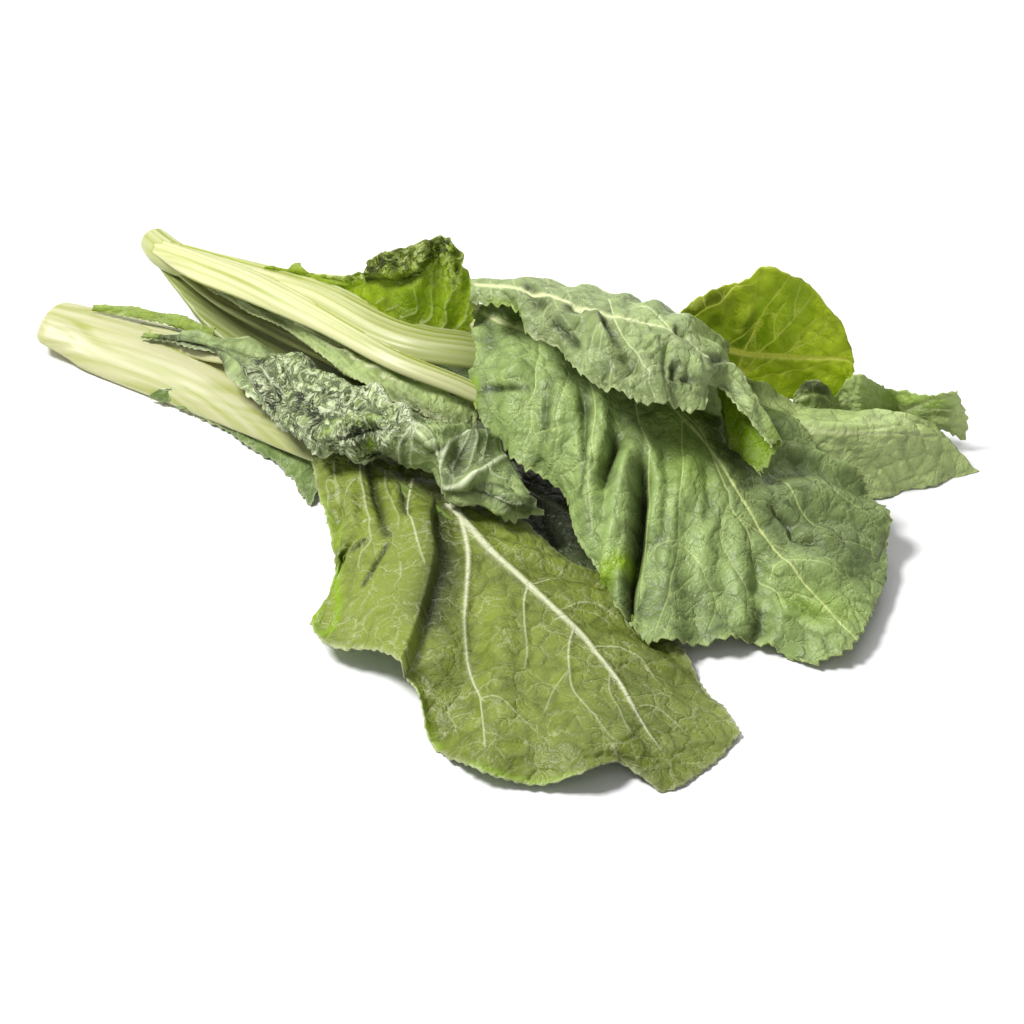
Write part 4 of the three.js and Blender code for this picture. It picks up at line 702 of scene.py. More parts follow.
            [[-17, 22, 4], [-15, 34, 7], [-12, 48, 9], [-9, 63, 9]],
            [[3, -17, 3], [6, -1, 6], [9, 18, 9], [14, 39, 9]],
            [[24, -46, 3], [28, -27, 6], [34, -5, 9], [41, 21, 9]],
            [[50, -75, 2], [55, -55, 5], [62, -32, 8], [71, -2, 8]],
            [[78, -85, 1], [84, -67, 4], [91, -44, 6], [100, -15, 6]],
        ],
        "rib": 0.5, "pleats": (5, 0.15, 1, 0, 0), "ruffle": (5, 1, 0), "crumple": 0,
        "teeth": (5, 1.8), "upper": 1, "cell": 1.1, "pucker": (9, 0.8), "vein": 0.6,
        "skins": ("blue_upper_side", "light_underside"), "slot": "blue_leaf",
        "tints": [
            ("deep", 60, 1.0, [(0.1, 0), (0.5, 0), (0.9, 0)]),
        ],
    },
}

# What a leaf has where it says nothing else: regular side veins, and crinkles that begin past its margin
PLAIN_LEAF = {"midrib": 1, "veins": None, "crinkle": (1, 0, 2, 3, 0, 1), "creases": [], "tints": []}

# Stalks, butt first, with a width for each point of the path. flat: thickness over width.
# bow: how far the middle is arched up, over width. ribs: height of the lengthwise ribs.
# green: how green the skin is at butt and tip. The first front stalk turns dark green early, partly its own
# green and partly painted shade under the leaves.
STALKS = {
    "front_head_stalks": [
        {
            "path": [[-224, 148, 9], [-198, 139, 3.4], [-156, 113, 3.4], [-125, 84, 4.4],
                     [-97, 46, 10], [-77, 18, 15], [-53, -5, 18], [-27, -35, 18], [1, -75, 16],
                     [31, -120, 12], [55, -153, 9]],
            "widths": [36, 48, 52, 44, 28, 16, 11, 9, 7, 5, 3],
            # Dark green from the middle on: partly the stalk's own green, partly painted shade where it
            # runs under the leaves
            "flat": 0.34, "bow": 0.1, "ribs": 0.5, "green": (0.0, 4.0),
        },
        {
            "path": [[-206, 150, 9], [-172, 130, 13], [-142, 106, 20], [-116, 76, 33],
                     [-91, 38, 43], [-58, 13, 43], [-36, -8, 41]],
            "widths": [14, 18, 18, 15, 12, 9, 6],
            "flat": 0.4, "bow": 0.06, "ribs": 0.4, "green": (0.0, 0.8),
        },
    ],
    "back_head_stalks": [
        {
            "path": [[-177, 172, 43], [-171, 162, 43], [-161, 153, 42], [-152, 153, 37]],
            "widths": [15, 17, 15, 7],
            "flat": 0.95, "bow": 0, "ribs": 0.3, "green": (0.25, 0.1),
        },
        {
            "path": [[-173, 161, 46], [-148, 130, 52], [-120, 105, 55], [-85, 74, 55], [-52, 43, 54],
                     [-18, 30, 46], [13, 26, 28]],
            "widths": [11, 20, 20, 15, 13.5, 12, 6],
            "flat": 0.5, "bow": 0.1, "ribs": 0.5, "green": (0.02, 0.4),
        },
        {
            "path": [[-173, 164, 46], [-129, 127, 53], [-92, 97, 57], [-60, 66, 57], [-40, 54, 57],
                     [-18, 52, 54], [10, 56, 46]],
            "widths": [9, 16, 23, 26, 26, 26, 10],
            "flat": 0.34, "bow": 0.1, "ribs": 0.9, "green": (0.12, 0.9),
        },
        {
            "path": [[-175, 166, 40], [-159, 148, 33], [-140, 134, 25], [-114, 115, 18],
                     [-77, 89, 13], [-29, 55, 10], [41, 38, 9], [83, 34, 14], [108, 32, 23],
                     [131, 26, 27], [157, 25, 27], [180, 31, 21]],
            "widths": [9, 16, 30, 36, 34, 22, 14, 11, 9, 7, 5, 3],
            "flat": 0.34, "bow": -0.14, "ribs": 0.4, "green": (0.6, 0.9),
        },
        {
            "path": [[-171, 167, 43], [-128, 140, 43], [-87, 123, 47], [-53, 100, 60], [-16, 76, 74],
                     [12, 58, 80], [37, 47, 81], [61, 34, 79], [85, 22, 72]],
            "widths": [8, 14, 17, 15, 11, 8, 6, 4, 2.5],
            "flat": 0.42, "bow": 0.06, "ribs": 0.4, "green": (0.1, 0.6),
        },
        {
            "path": [[-172, 167, 42], [-127, 136, 46], [-87, 112, 50], [-44, 89, 52], [-16, 73, 63],
                     [10, 46, 66], [37, 31, 64], [62, 12, 58], [84, -10, 48], [100, -39, 38],
                     [114, -60, 26]],
            "widths": [8, 18, 19, 17, 12, 9, 8, 7, 5.5, 4, 2.5],
            "flat": 0.42, "bow": 0.04, "ribs": 0.4, "green": (0.1, 0.6),
        },
        {
            "path": [[-170, 160, 41], [-153, 148, 37], [-136, 129, 35], [-117, 119, 31], [-87, 103, 24],
                     [-53, 84, 16], [4, 78, 10], [61, 76, 9], [111, 70, 12], [150, 62, 13], [172, 61, 14],
                     [190, 60, 15], [203, 56, 15]],
            "widths": [9, 16, 16, 20, 20, 17, 13, 10, 8, 6, 5, 4, 2.5],
            "flat": 0.34, "bow": -0.12, "ribs": 0.4, "green": (0.3, 0.7),
        },
        {
            "path": [[-172, 169, 41], [-104, 141, 34], [-15, 107, 32], [42, 84, 36],
                     [84, 66, 46], [104, 65, 46], [122, 66, 44], [140, 66, 42]],
            "widths": [9, 20, 20, 14, 9, 6, 4.5, 2.5],
            "flat": 0.42, "bow": 0.06, "ribs": 0.4, "green": (0.2, 0.7),
        },
        {
            "path": [[-173, 168, 40], [-122, 133, 32], [-76, 106, 24], [-33, 105, 21],
                     [13, 111, 16], [61, 120, 12], [105, 123, 10]],
            "widths": [9, 18, 17, 12, 9, 6, 3],
            "flat": 0.42, "bow": 0.04, "ribs": 0.4, "green": (0.3, 0.7),
        },
    ],
}


def hex_colour(code):
    """Linear colour from an sRGB hex value."""
    parts = [int(code[i:i + 2], 16) / 255 for i in (1, 3, 5)]
    linear = [c / 12.92 if c <= 0.04045 else ((c + 0.055) / 1.055) ** 2.4 for c in parts]
    return (*linear, 1.0)


def colour_choice(name, code, description):
    """A colour that the sidebar offers."""
    return bpy.props.FloatVectorProperty(
        name=name, description=description, default=hex_colour(code), subtype="COLOR", size=4,
        min=0, max=1)


def size_choice(name, size, least, most, description):
    """A size in millimetres that the sidebar offers."""
    return bpy.props.FloatProperty(
        name=name, description=description, default=size * MM, min=least * MM, max=most * MM,
        unit="LENGTH", precision=5)


class MustardSizes(bpy.types.PropertyGroup):
    """Sizes of the blades, their veins and the stalks' ribs"""
    blade_thickness: size_choice("Blade thickness", 0.55, 0.2, 1.5, "Thickness of a leaf blade")
    net_cell: size_choice("Vein net", 4.5, 1, 8, "Width of a mesh of the finest net of veins")
    stalk_rib: size_choice("Stalk ribs", 3.4, 1, 8, "Distance between the stalks' lengthwise ribs")


class MustardColours(bpy.types.PropertyGroup):
    """Colours of the skins"""
    front_stalk: colour_choice("Front stalk", "#c4c298", "Skin of the front head's stalks")
    back_stalk: colour_choice("Back stalk", "#d6d6a2", "Skin of the back head's stalks")
    stalk_stripe: colour_choice("Stalk stripes", "#98a23c", "Lengthwise stripes of the stalks")
    stalk_green: colour_choice("Green stalk", "#63772a", "Stalk skin where it turns green")
    blue_leaf: colour_choice("Blue-green leaf", "#8fa562", "Waxy upper side of the large leaves")
    pale_leaf: colour_choice("Pale leaf", "#9bae6e", "Upper side of the folded leaf")
    grey_leaf: colour_choice("Grey-green leaf", "#647a38", "Leaves beside the front stalks")
    olive_leaf: colour_choice("Olive leaf", "#7c8a35", "Underside of the broad leaf")
    soft_leaf: colour_choice("Soft green leaf", "#b0c27c", "Upper side of the end leaf")
    light_leaf: colour_choice("Light green leaf", "#93a846", "Thin undersides")
    # The lit and bright leaf colours are lighter than the leaves' own green: painted light from behind them
    lit_leaf: colour_choice("Lit leaf", "#c9d640", "Upright leaf with the light behind it")
    bright_leaf: colour_choice("Bright leaf", "#a4bb1e", "Leaves with the light behind them")


def through(points, t):
    """Uniform Catmull-Rom curve through points, at places t from 0 to 1."""
    p = np.asarray(points, float)
    count = len(p)
    p = np.concatenate([[2 * p[0] - p[1]], p, [2 * p[-1] - p[-2]]])
    place = np.asarray(t) * (count - 1)
    i = np.clip(np.floor(place).astype(int), 0, count - 2)
    w = (place - i).reshape((-1,) + (1,) * (p.ndim - 1))
    a, b, c, d = p[i], p[i + 1], p[i + 2], p[i + 3]
    return 0.5 * (2 * b + (c - a) * w + (2 * a - 5 * b + 4 * c - d) * w ** 2
                  + (3 * b - a - 3 * c + d) * w ** 3)


def sheet(net, u, v):
    """Smooth sheet through a leaf's net, as an array of rows along u and columns along v."""
    across = through(np.swapaxes(np.asarray(net, float), 0, 1), v)
    return through(np.swapaxes(across, 0, 1), u)


def ramp(low, high, value):
    """0 below low, 1 above high, and smooth between."""
    t = np.clip((value - low) / (high - low), 0, 1)
    return t * t * (3 - 2 * t)


def unit(vectors):
    """Vectors made 1 long."""
    return vectors / (np.linalg.norm(vectors, axis=-1, keepdims=True) + 1e-12)


def lengths(points, axis):
    """Distance travelled along one axis of an array of points."""
    run = np.linalg.norm(np.diff(points, axis=axis), axis=-1)
    start = np.zeros_like(np.take(run, [0], axis))
    return np.concatenate([start, np.cumsum(run, axis=axis)], axis)


def patches(x, y, seed):
    """Smooth random values from 0 to 1, a new one at each whole step of x and y."""
    table = np.random.default_rng(seed).random((TABLE_SIZE, TABLE_SIZE))
    i, j = np.floor(x).astype(int), np.floor(y).astype(int)
    fx, fy = ramp(0, 1, x - i), ramp(0, 1, y - j)
    i, j, k, l = i % TABLE_SIZE, j % TABLE_SIZE, (i + 1) % TABLE_SIZE, (j + 1) % TABLE_SIZE
    low = table[i, j] * (1 - fx) + table[k, j] * fx
    high = table[i, l] * (1 - fx) + table[k, l] * fx
    return low * (1 - fy) + high * fy


def uneven_cells(x, y, seed):
    """Distance to the nearest border of uneven cells that are 1 wide, and a random value for each cell."""
    rng = np.random.default_rng(seed)
    jitter = rng.random((TABLE_SIZE, TABLE_SIZE, 2))
    value = rng.random((TABLE_SIZE, TABLE_SIZE))
    i, j = np.floor(x).astype(int), np.floor(y).astype(int)
    spots = []
    for di in (-1, 0, 1):
        for dj in (-1, 0, 1):
            k, l = (i + di) % TABLE_SIZE, (j + dj) % TABLE_SIZE
            spots.append((i + di + jitter[k, l, 0] - x, j + dj + jitter[k, l, 1] - y, value[k, l]))
    dx, dy, of_cell = (np.stack(part) for part in zip(*spots))
    gap = dx ** 2 + dy ** 2
    nearest = gap.argmin(0)[None]
    nx, ny = np.take_along_axis(dx, nearest, 0), np.take_along_axis(dy, nearest, 0)
    apart = np.hypot(dx - nx, dy - ny)
    own = apart < 1e-9
    border = (gap - (nx ** 2 + ny ** 2)) / (2 * np.where(own, 1, apart))
    border = np.where(own, np.inf, border).min(0)
    return border, np.take_along_axis(of_cell, nearest, 0)[0]


def crinkles(x, y, size, seed):
    """Sharp, winding crinkles: 0 in a valley, 1 on a crest."""
    total = 0
    for octave in range(3):
        step = size / 2 ** octave
        bend_x = 1.5 * patches(x / step / 1.6 + 7, y / step / 1.6 + 3, seed + octave)
        bend_y = 1.5 * patches(x / step / 1.6 + 2, y / step / 1.6 + 9, seed + 3 + octave)
        level = patches(x / step + bend_x + 11, y / step + bend_y + 11, seed + 6 + octave)
        total = total + (1 - np.abs(2 * level - 1)) * 0.5 ** octave
    return ramp(0.1, 0.95, total / 1.75)


def saw(place, width, seed):
    """Uneven teeth along a margin: from 0 at a notch to 1 at a point, which leans towards the tip."""
    rng = np.random.default_rng(seed)
    widths = width * rng.uniform(0.5, 1.5, MOST_TEETH)
    heights = rng.uniform(0.35, 1, MOST_TEETH + 1)
    starts = np.concatenate([[0], np.cumsum(widths)])
    i = np.clip(np.searchsorted(starts, place, "right") - 1, 0, MOST_TEETH - 1)
    f = (place - starts[i]) / widths[i]
    return heights[i] * np.where(f < TOOTH_LEAN, f / TOOTH_LEAN, (1 - f) / (1 - TOOTH_LEAN)).clip(0, 1)


def near_path(path, s, w, reach):
    """Which flat places lie within reach of a path, their distance to its left and the place along it."""
    low, high = path.min(0) - reach, path.max(0) + reach
    near = (s > low[0]) & (s < high[0]) & (w > low[1]) & (w < high[1])
    spots = np.stack([s[near], w[near]], -1)[:, None]
    starts, runs = path[:-1], np.diff(path, axis=0)
    t = np.clip(((spots - starts) * runs).sum(-1) / (runs ** 2).sum(-1), 0, 1)
    off = spots - (starts + t[..., None] * runs)
    gaps = np.linalg.norm(off, axis=-1)
    best = gaps.argmin(1)
    rows = np.arange(len(best))
    left = runs[best, 0] * off[rows, best, 1] > runs[best, 1] * off[rows, best, 0]
    return near, np.where(left, 1, -1) * gaps[rows, best], (best + t[rows, best]) / len(runs)


def regular_veins(leaf):
    """Side veins between a leaf's pleats, each with two branches: half width at root and tip, and path."""
    count, slant, _, start, stagger = leaf["pleats"]
    steps = np.linspace(0, 1, 9)
    rest = 0.5 if leaf["upper"] > 0 else 0.0
    found = []
    for half in (-1, 1):
        shift = stagger if half > 0 else 0
        for k in range(-2, int(count) + 3):
            root = (k + rest - start - shift) / count
            if not 0.02 < root < 0.93:
                continue
            out = 0.96 * steps
            path = np.stack([root + slant * out + 0.03 * np.sin(5 * out + 2 * k), half * out], -1)
            found.append((leaf["vein"], 0.4 * leaf["vein"], path))
            for at, turn in ((0.3, 0.5), (0.55, -0.4)):
                reach = steps * (0.97 - at) * 0.75
                u = root + slant * (at + reach) + turn / count * (reach / 0.3) ** 0.8 * 0.55
                found.append((0.55 * leaf["vein"], 0.2, np.stack([u, half * (at + reach)], -1)))
    return found


def flattened(net, rows=33, columns=17, rounds=500, give=0.12):
    """A leaf's net laid out flat, its lengths kept as well as they can be, in millimetres."""
    grid = sheet(net, np.linspace(0, 1, rows), np.linspace(0, 1, columns))
    flat = np.stack([lengths(grid, 0), lengths(grid, 1)], -1)
    flat[..., 1] -= flat[:, columns // 2, None, 1]
    pairs = []
    for di, dj in ((0, 1), (1, 0), (1, 1), (1, -1)):
        here = (slice(0, rows - di), slice(max(0, -dj), columns - max(0, dj)))
        there = (slice(di, rows), slice(max(0, dj), columns - max(0, -dj)))
        pairs.append((here, there, np.linalg.norm(grid[there] - grid[here], axis=-1)))
    for _ in range(rounds):
        move = np.zeros_like(flat)
        for here, there, want in pairs:
            gap = flat[there] - flat[here]
            now = np.linalg.norm(gap, axis=-1) + 1e-9
            pull = gap * ((now - want) / now)[..., None]
            move[here] += pull
            move[there] -= pull
        flat += move * give
    return flat


class Blade:
    """A leaf's smooth sheet as a grid of places, with what is drawn and raised on it, in millimetres."""

    def __init__(self, leaf, seed):
        self.leaf = leaf
        self.seed = seed
        net, rib = leaf["net"], leaf["rib"]
        coarse = sheet(net, np.linspace(0, 1, 30), np.linspace(0, 1, 20))
        self.long_steps = max(12, round(lengths(coarse, 0)[-1].mean() / leaf["cell"]))
        self.wide_steps = max(8, round(lengths(coarse, 1)[:, -1].mean() / leaf["cell"]))
        u = np.linspace(0, 1, self.long_steps + 1)
        v = np.linspace(0, 1, self.wide_steps + 1)
        self.place = sheet(net, u, v)
        before, after = np.maximum(u - NUDGE, 0), np.minimum(u + NUDGE, 1)
        self.along = unit(sheet(net, after, v) - sheet(net, before, v))
        before, after = np.maximum(v - NUDGE, 0), np.minimum(v + NUDGE, 1)
        self.across = unit(sheet(net, u, after) - sheet(net, u, before))
        self.up = unit(np.cross(self.along, self.across))
        self.u, self.v = np.meshgrid(u, v, indexing="ij")
        off = self.v - rib
        self.side = np.where(off < 0, off / max(rib, NUDGE), off / max(1 - rib, NUDGE))
        self.down, self.near_gap = lengths(self.place, 0), lengths(self.place, 1)
        self.far_gap = self.near_gap[:, -1:] - self.near_gap
        self.tip_gap = self.down[-1:] - self.down
        column = round(rib * self.wide_steps)
        self.over = self.near_gap - self.near_gap[:, column:column + 1]
        self.s, self.w = np.moveaxis(sheet(flattened(net), u, v), -1, 0)

    def route(self, path):
        """A path in shares of the leaf's length and half width, as flat places."""
        at_u, at_side = through(path, np.linspace(0, 1, max(4 * len(path), 12))).T
        rib = self.leaf["rib"]
        at_v = rib + at_side * np.where(at_side < 0, rib, 1 - rib)
        i, j = at_u.clip(0, 1) * self.long_steps, at_v.clip(0, 1) * self.wide_steps
        i0 = np.floor(i).astype(int).clip(0, self.long_steps - 1)
        j0 = np.floor(j).astype(int).clip(0, self.wide_steps - 1)
        fi, fj = i - i0, j - j0
        mix = [grid[i0, j0] * (1 - fi) * (1 - fj) + grid[i0 + 1, j0] * fi * (1 - fj)
               + grid[i0, j0 + 1] * (1 - fi) * fj + grid[i0 + 1, j0 + 1] * fi * fj
               for grid in (self.s, self.w)]
        return np.stack(mix, -1)

    def near(self, path, reach):
        """The flat places near a path, as near_path gives them."""
        return near_path(self.route(path), self.s, self.w, reach)

    def folds(self):
        """Height of the pleats, the margin's ruffle and the uneven folds off the smooth sheet."""
        count, slant, depth, start, stagger = self.leaf["pleats"]
        waves, height, turn = self.leaf["ruffle"]
        u, v, side = self.u, self.v, self.side
        out = np.abs(side)
        ends = ramp(0, 0.12, u) * ramp(0, 0.12, 1 - u)
        phase = count * (u - slant * out) + start + np.where(side > 0, stagger, 0)
        phase = phase + 0.12 * np.sin(7 * u + 4 * v)
        pleat = depth * np.cos(2 * np.pi * phase) * ramp(0, 0.4, out) * (1 - out ** 4)
        pleat = pleat * (0.75 + 0.35 * np.sin(9 * u - 6 * v))
        ruffle = height * out ** 3 * np.sin(2 * np.pi * waves * u + turn + side)
        crumple = self.leaf["crumple"] * np.sin(23 * u + 5 * v) * np.sin(9 * v - 11 * u + 1)
        return (pleat + ruffle + crumple) * ends

    def veins(self):
        """Surface values of the veins, and how far the upper side dips over them."""
        leaf = self.leaf
        veins = regular_veins(leaf) if leaf["veins"] is None else leaf["veins"]
        vein, groove = np.zeros_like(self.s), np.zeros_like(self.s)
        thread, thread_share = np.full_like(self.s, 4.0), np.zeros_like(self.s)
        for root, tip, path in veins:
            near, gap, at = self.near(path, VEIN_REACH)
            width = root + (tip - root) * at
            raised = np.exp(-(gap / (1.3 * width + 0.5)) ** 2) * 0.9 * width ** 0.7
            groove[near] = np.maximum(groove[near], raised)
            wide = 1 - ramp(0.3 * width, 0.75 * width + 0.55, np.abs(gap))
            vein[near] = np.maximum(vein[near], wide * ramp(0.5, 0.9, width))
            share = (0.12 + 0.88 * ramp(0.1, 1, width)) * (1 - ramp(1.7, 2.6, np.abs(gap)))
            closer = np.abs(gap) < np.abs(thread[near])
            thread[near] = np.where(closer, gap, thread[near])
            thread_share[near] = np.where(closer, share, thread_share[near])
        midrib_width = 2.2 * leaf["vein"] * (1.1 - 0.8 * self.u)
        midrib = leaf["midrib"] * np.exp(-(self.over / midrib_width) ** 2) * ramp(0, 0.02, self.u)
        values = {"vein": np.maximum(vein, midrib), "thread": thread, "thread_share": thread_share}
        return values, np.maximum(groove, 0.8 * leaf["vein"] * midrib)

    def creases(self):
        """Height of the single folds. One that ends inside the margin fades out."""
        height = np.zeros_like(self.s)
        for right, left, high, path in self.leaf["creases"]:
            near, gap, at = self.near(path, FADE_REACH * max(right, left))
            from_start = 1 if abs(path[0][1]) >= AT_MARGIN else ramp(0, 0.3, at)
            from_end = 1 if abs(path[-1][1]) >= AT_MARGIN else ramp(0, 0.3, 1 - at)
            profile = np.exp(-(gap / np.where(gap > 0, left, right)) ** 2)
            height[near] += high * from_start * from_end * profile
        return height

    def tint(self, kind):
        """How strongly each place has one kind of tint: painted shade or painted light."""
        total = np.zeros_like(self.s)
        for own_kind, reach, share, path in self.leaf["tints"]:
            if own_kind == kind:
                near, gap, _ = self.near(path, FADE_REACH * reach)
                total[near] = np.maximum(total[near], share * np.exp(-(gap / reach) ** 2))
        return total

    def cushions(self, groove):
        """Height of the cushions between small veins, and random mottling with painted shade where they
        meet.
        """
        s, w, seed = self.s, self.w, self.seed
        cell, high = self.leaf["pucker"]
        bend_s = 3.5 * patches(s / BEND_PATCH, w / BEND_PATCH, seed + 1)
        bend_w = 3.5 * patches(s / BEND_PATCH, w / BEND_PATCH, seed + 2)
        border, of_cell = uneven_cells((s + bend_s) / cell + 20, (w + bend_w) / (0.8 * cell) + 20, seed)
        border = border * cell
        small_border, _ = uneven_cells((s + bend_w) / (0.4 * cell) + 20, (w + bend_s) / (0.36 * cell) + 20,
                                       seed + 5)
        cushion = 0.6 * ramp(0, 1.6, border) + 0.4 * ramp(0, 0.45 * cell, border)
        small_cushion = ramp(0, 0.3, small_border)
        uneven = 0.3 + 1.2 * patches(s / UNEVEN_PATCH + 3, w / UNEVEN_PATCH + 5, seed + 10)
        beside_veins = (1 - groove / max(self.leaf["vein"], 0.1)).clip(0, 1)
        swell = cushion * (0.5 + 0.9 * of_cell) - 0.5 + 0.22 * (small_cushion - 0.5)
        # Random mottling, with painted shade where the cushions meet
        tone = (0.35 * ramp(0, 0.3 * cell, border) + 0.25 * of_cell
                + 0.4 * patches(s / TONE_PATCH, w / TONE_PATCH, seed + 9))
        return high * uneven * swell * beside_veins, tone

    def crinkle(self):
        """Height and painted shade of the sharp crinkles, and each place's share in them."""
        size, crest, low_side, high_side, start, end = self.leaf["crinkle"]
        share = ramp(low_side, high_side, self.side)
        share = share * ramp(start, start + 0.1, self.u) * ramp(0, 0.1, end - self.u)
        ridge = crinkles(self.s, self.w, size, self.seed + 12)
        return crest * (ridge - 0.75) * share, 0.6 * (1 - ramp(0.08, 0.4, ridge)) * share, share

    def teeth(self, gap, at, draw):
        """How far a margin's teeth push each place out."""
        width, height = self.leaf["teeth"]
        out = (saw(at, width, self.seed + draw) - 0.4) * 1.6 * height
        return out * (1 - gap / TEETH_REACH).clip(0, 1)

    def toothed(self):
        """Places of the sheet with its margins pushed out into teeth and lobes."""
        lobes = patches(self.down / LOBE_LENGTH + 5, np.sign(self.side) + 9, self.seed + 4) - 0.5
        lobes = LOBE_HEIGHT * lobes
        near = self.teeth(self.near_gap, self.down, 6) + lobes * (1 - self.near_gap / LOBE_REACH).clip(0, 1)
        far = self.teeth(self.far_gap, self.down, 7) + lobes * (1 - self.far_gap / LOBE_REACH).clip(0, 1)
        tip = self.teeth(self.tip_gap, self.over + 200, 8)
        return self.place + self.across * (far - near)[..., None] + self.along * tip[..., None]


def shaped_leaf(leaf, seed):
    """Places of a leaf's mesh in the layout, its flat places in millimetres, and its surface values."""
    blade = Blade(leaf, seed)
    values, groove = blade.veins()
    crease = blade.creases()
    swell, tone = blade.cushions(groove)
    crinkle_height, crinkle_shade, crinkle_share = blade.crinkle()
    height = blade.folds() + crease + leaf["upper"] * (swell - groove) + crinkle_height
    edge_gap = np.minimum(np.minimum(blade.near_gap, blade.far_gap), blade.tip_gap)
    values["crinkle"] = crinkle_share
    # Folds paint light and shade into the colour: lighter along raised folds, darker in sunken ones
    values["tone"] = tone + 0.09 * crease.clip(-6, 4)
    values["edge"] = np.exp(-edge_gap / EDGE_WIDTH)
    values["glow"] = blade.tint("glow")
    values["deep"] = np.maximum(blade.tint("deep"), crinkle_shade)
    return blade.toothed() + blade.up * height[..., None], np.stack([blade.s, blade.w], -1), values


def to_frame(points):
    """Layout millimetres to the frame's metres, no lower than the surface."""
    cos, sin = math.cos(LAYOUT_TURN), math.sin(LAYOUT_TURN)
    x = points[..., 0] * cos - points[..., 1] * sin + LAYOUT_SHIFT[0]
    y = points[..., 0] * sin + points[..., 1] * cos + LAYOUT_SHIFT[1]
    z = np.maximum(points[..., 2] + LAYOUT_SHIFT[2], LOWEST_SKIN)
    return np.stack([x, y, z], -1) * MM


def in_grid_order(values):
    """Values by row and column, in the order of a grid primitive's points."""
    return np.ascontiguousarray(np.swapaxes(values, 0, 1)).astype(np.float32)


def grid_piece(name, places, flat, values):
    """A grid primitive whose points are moved to places, with its UV map and surface values."""
    rows, columns = places.shape[:2]
    bpy.ops.object.select_all(action="DESELECT")
    bpy.ops.mesh.primitive_grid_add(x_subdivisions=rows - 1, y_subdivisions=columns - 1, size=2)
    piece = bpy.context.object
    piece.name = name
    mesh = piece.data
    mesh.name = name
    mesh.vertices.foreach_set("co", in_grid_order(to_frame(places)).ravel())
    corner = np.empty(len(mesh.loops), np.int32)
    mesh.loops.foreach_get("vertex_index", corner)
    uv = in_grid_order(flat / UV_SPAN).reshape(-1, 2)[corner]
    mesh.uv_layers[0].data.foreach_set("uv", uv.ravel())
    for label, value in values.items():
        attribute = mesh.attributes.new(label, "FLOAT", "POINT")
        attribute.data.foreach_set("value", in_grid_order(value).ravel())
    mesh.update()
    bpy.ops.object.shade_smooth()
    return piece


def belongs(piece, node):
    """A finished piece rides with the bunch and stands for its CAD node, which is hidden."""
    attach(piece, "root")
    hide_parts(node)


def add_leaf(name):
    """One leaf: shaped blade with its thickness, one skin on each side."""
    leaf = {**PLAIN_LEAF, **LEAVES[name]}
    seed = LEAF_SEED + SEEDS_PER_LEAF * list(LEAVES).index(name)
    places, flat, values = shaped_leaf(leaf, seed)
    piece = grid_piece(name.replace("_leaf", "_blade"), places, flat, values)
    for skin in leaf["skins"]:
        piece.data.materials.append(leaf_skin(skin))
    blade = piece.modifiers.new("blade", "SOLIDIFY")
    blade.thickness = bpy.context.scene.mustard_sizes.blade_thickness
    blade.offset = 0
    blade.material_offset = 1
    bpy.ops.object.modifier_apply(modifier=blade.name)
    belongs(piece, name)


def stalk_stations(path):
    """Places along a stalk from end to end, and each one's size and lead, which round the ends."""
    steps = round(lengths(path, 0)[-1] / STALK_STEP)
    turn = np.radians(STALK_END_ANGLES)
    extra = len(turn) - 1
    t = np.concatenate([np.zeros(extra), np.linspace(0, 1, steps + 1), np.ones(extra)])
    size = np.concatenate([np.cos(turn[:0:-1]), np.ones(steps + 1), np.cos(turn[1:])]) ** 0.6
    size[[0, -1]] = 0
    lead = np.concatenate([-np.sin(turn[:0:-1]), np.zeros(steps + 1), np.sin(turn[1:])])
    return t, size, lead * STALK_END_LENGTH


def swept_stalk(name, stalk, skin, seed):
    """One stalk: a crescent section with lengthwise ribs, swept along its path and rounded at its ends."""
    path = np.asarray(stalk["path"], float)
    t, size, lead = stalk_stations(path)
    centre = through(path, t)
    forward = unit(through(path, np.minimum(t + NUDGE, 1)) - through(path, np.maximum(t - NUDGE, 0)))
    across = unit(np.cross(forward, (0, 0, 1)))
    up = np.cross(across, forward)
    width = through(np.asarray(stalk["widths"], float)[:, None], t)
    wide = width * size[:, None]
    along, angle = np.meshgrid(t, np.linspace(0, 2 * np.pi, STALK_SIDES + 1), indexing="ij")
    cos, sin = np.cos(angle), np.sin(angle)

    run = lengths(centre, 0)[:, None] + 0 * angle
    lateral = cos * width / 2
    rib_gap = bpy.context.scene.mustard_sizes.stalk_rib / MM
    wander = patches(lateral / rib_gap + 20, run / RIB_PATCH + np.sign(sin) + 3, seed) - 0.5
    ribs = 0.6 * np.cos(2 * np.pi * lateral / rib_gap + 3 * wander) + 0.9 * wander
    ribs = ribs * stalk["ribs"] * np.abs(sin) * np.minimum(wide / 12, 1)
    rise = sin * wide * stalk["flat"] / 2 + stalk["bow"] * wide * sin ** 2 + ribs
    rise[[0, -1]] = 0
    place = (centre + forward * lead[:, None] * width)[:, None]
    place = place + across[:, None] * (cos * wide / 2)[..., None] + up[:, None] * rise[..., None]
    place[:, -1] = place[:, 0]

    flat = np.stack([run, lateral + np.where(sin < 0, UNDERSIDE_SHIFT, 0)], -1)
    butt_green, tip_green = stalk["green"]
    values = {"green": butt_green + (tip_green - butt_green) * along ** 3,
              "rib": np.clip(ribs / stalk["ribs"] / 1.6 + 0.5, 0, 1)}
    piece = grid_piece(name, place, flat, values)
    piece.data.materials.append(skin)
    bpy.ops.object.mode_set(mode="EDIT")
    bpy.ops.mesh.select_all(action="SELECT")
    bpy.ops.mesh.remove_doubles(threshold=WELD_GAP * MM)
    bpy.ops.mesh.normals_make_consistent(inside=False)
    bpy.ops.object.mode_set(mode="OBJECT")
    return piece


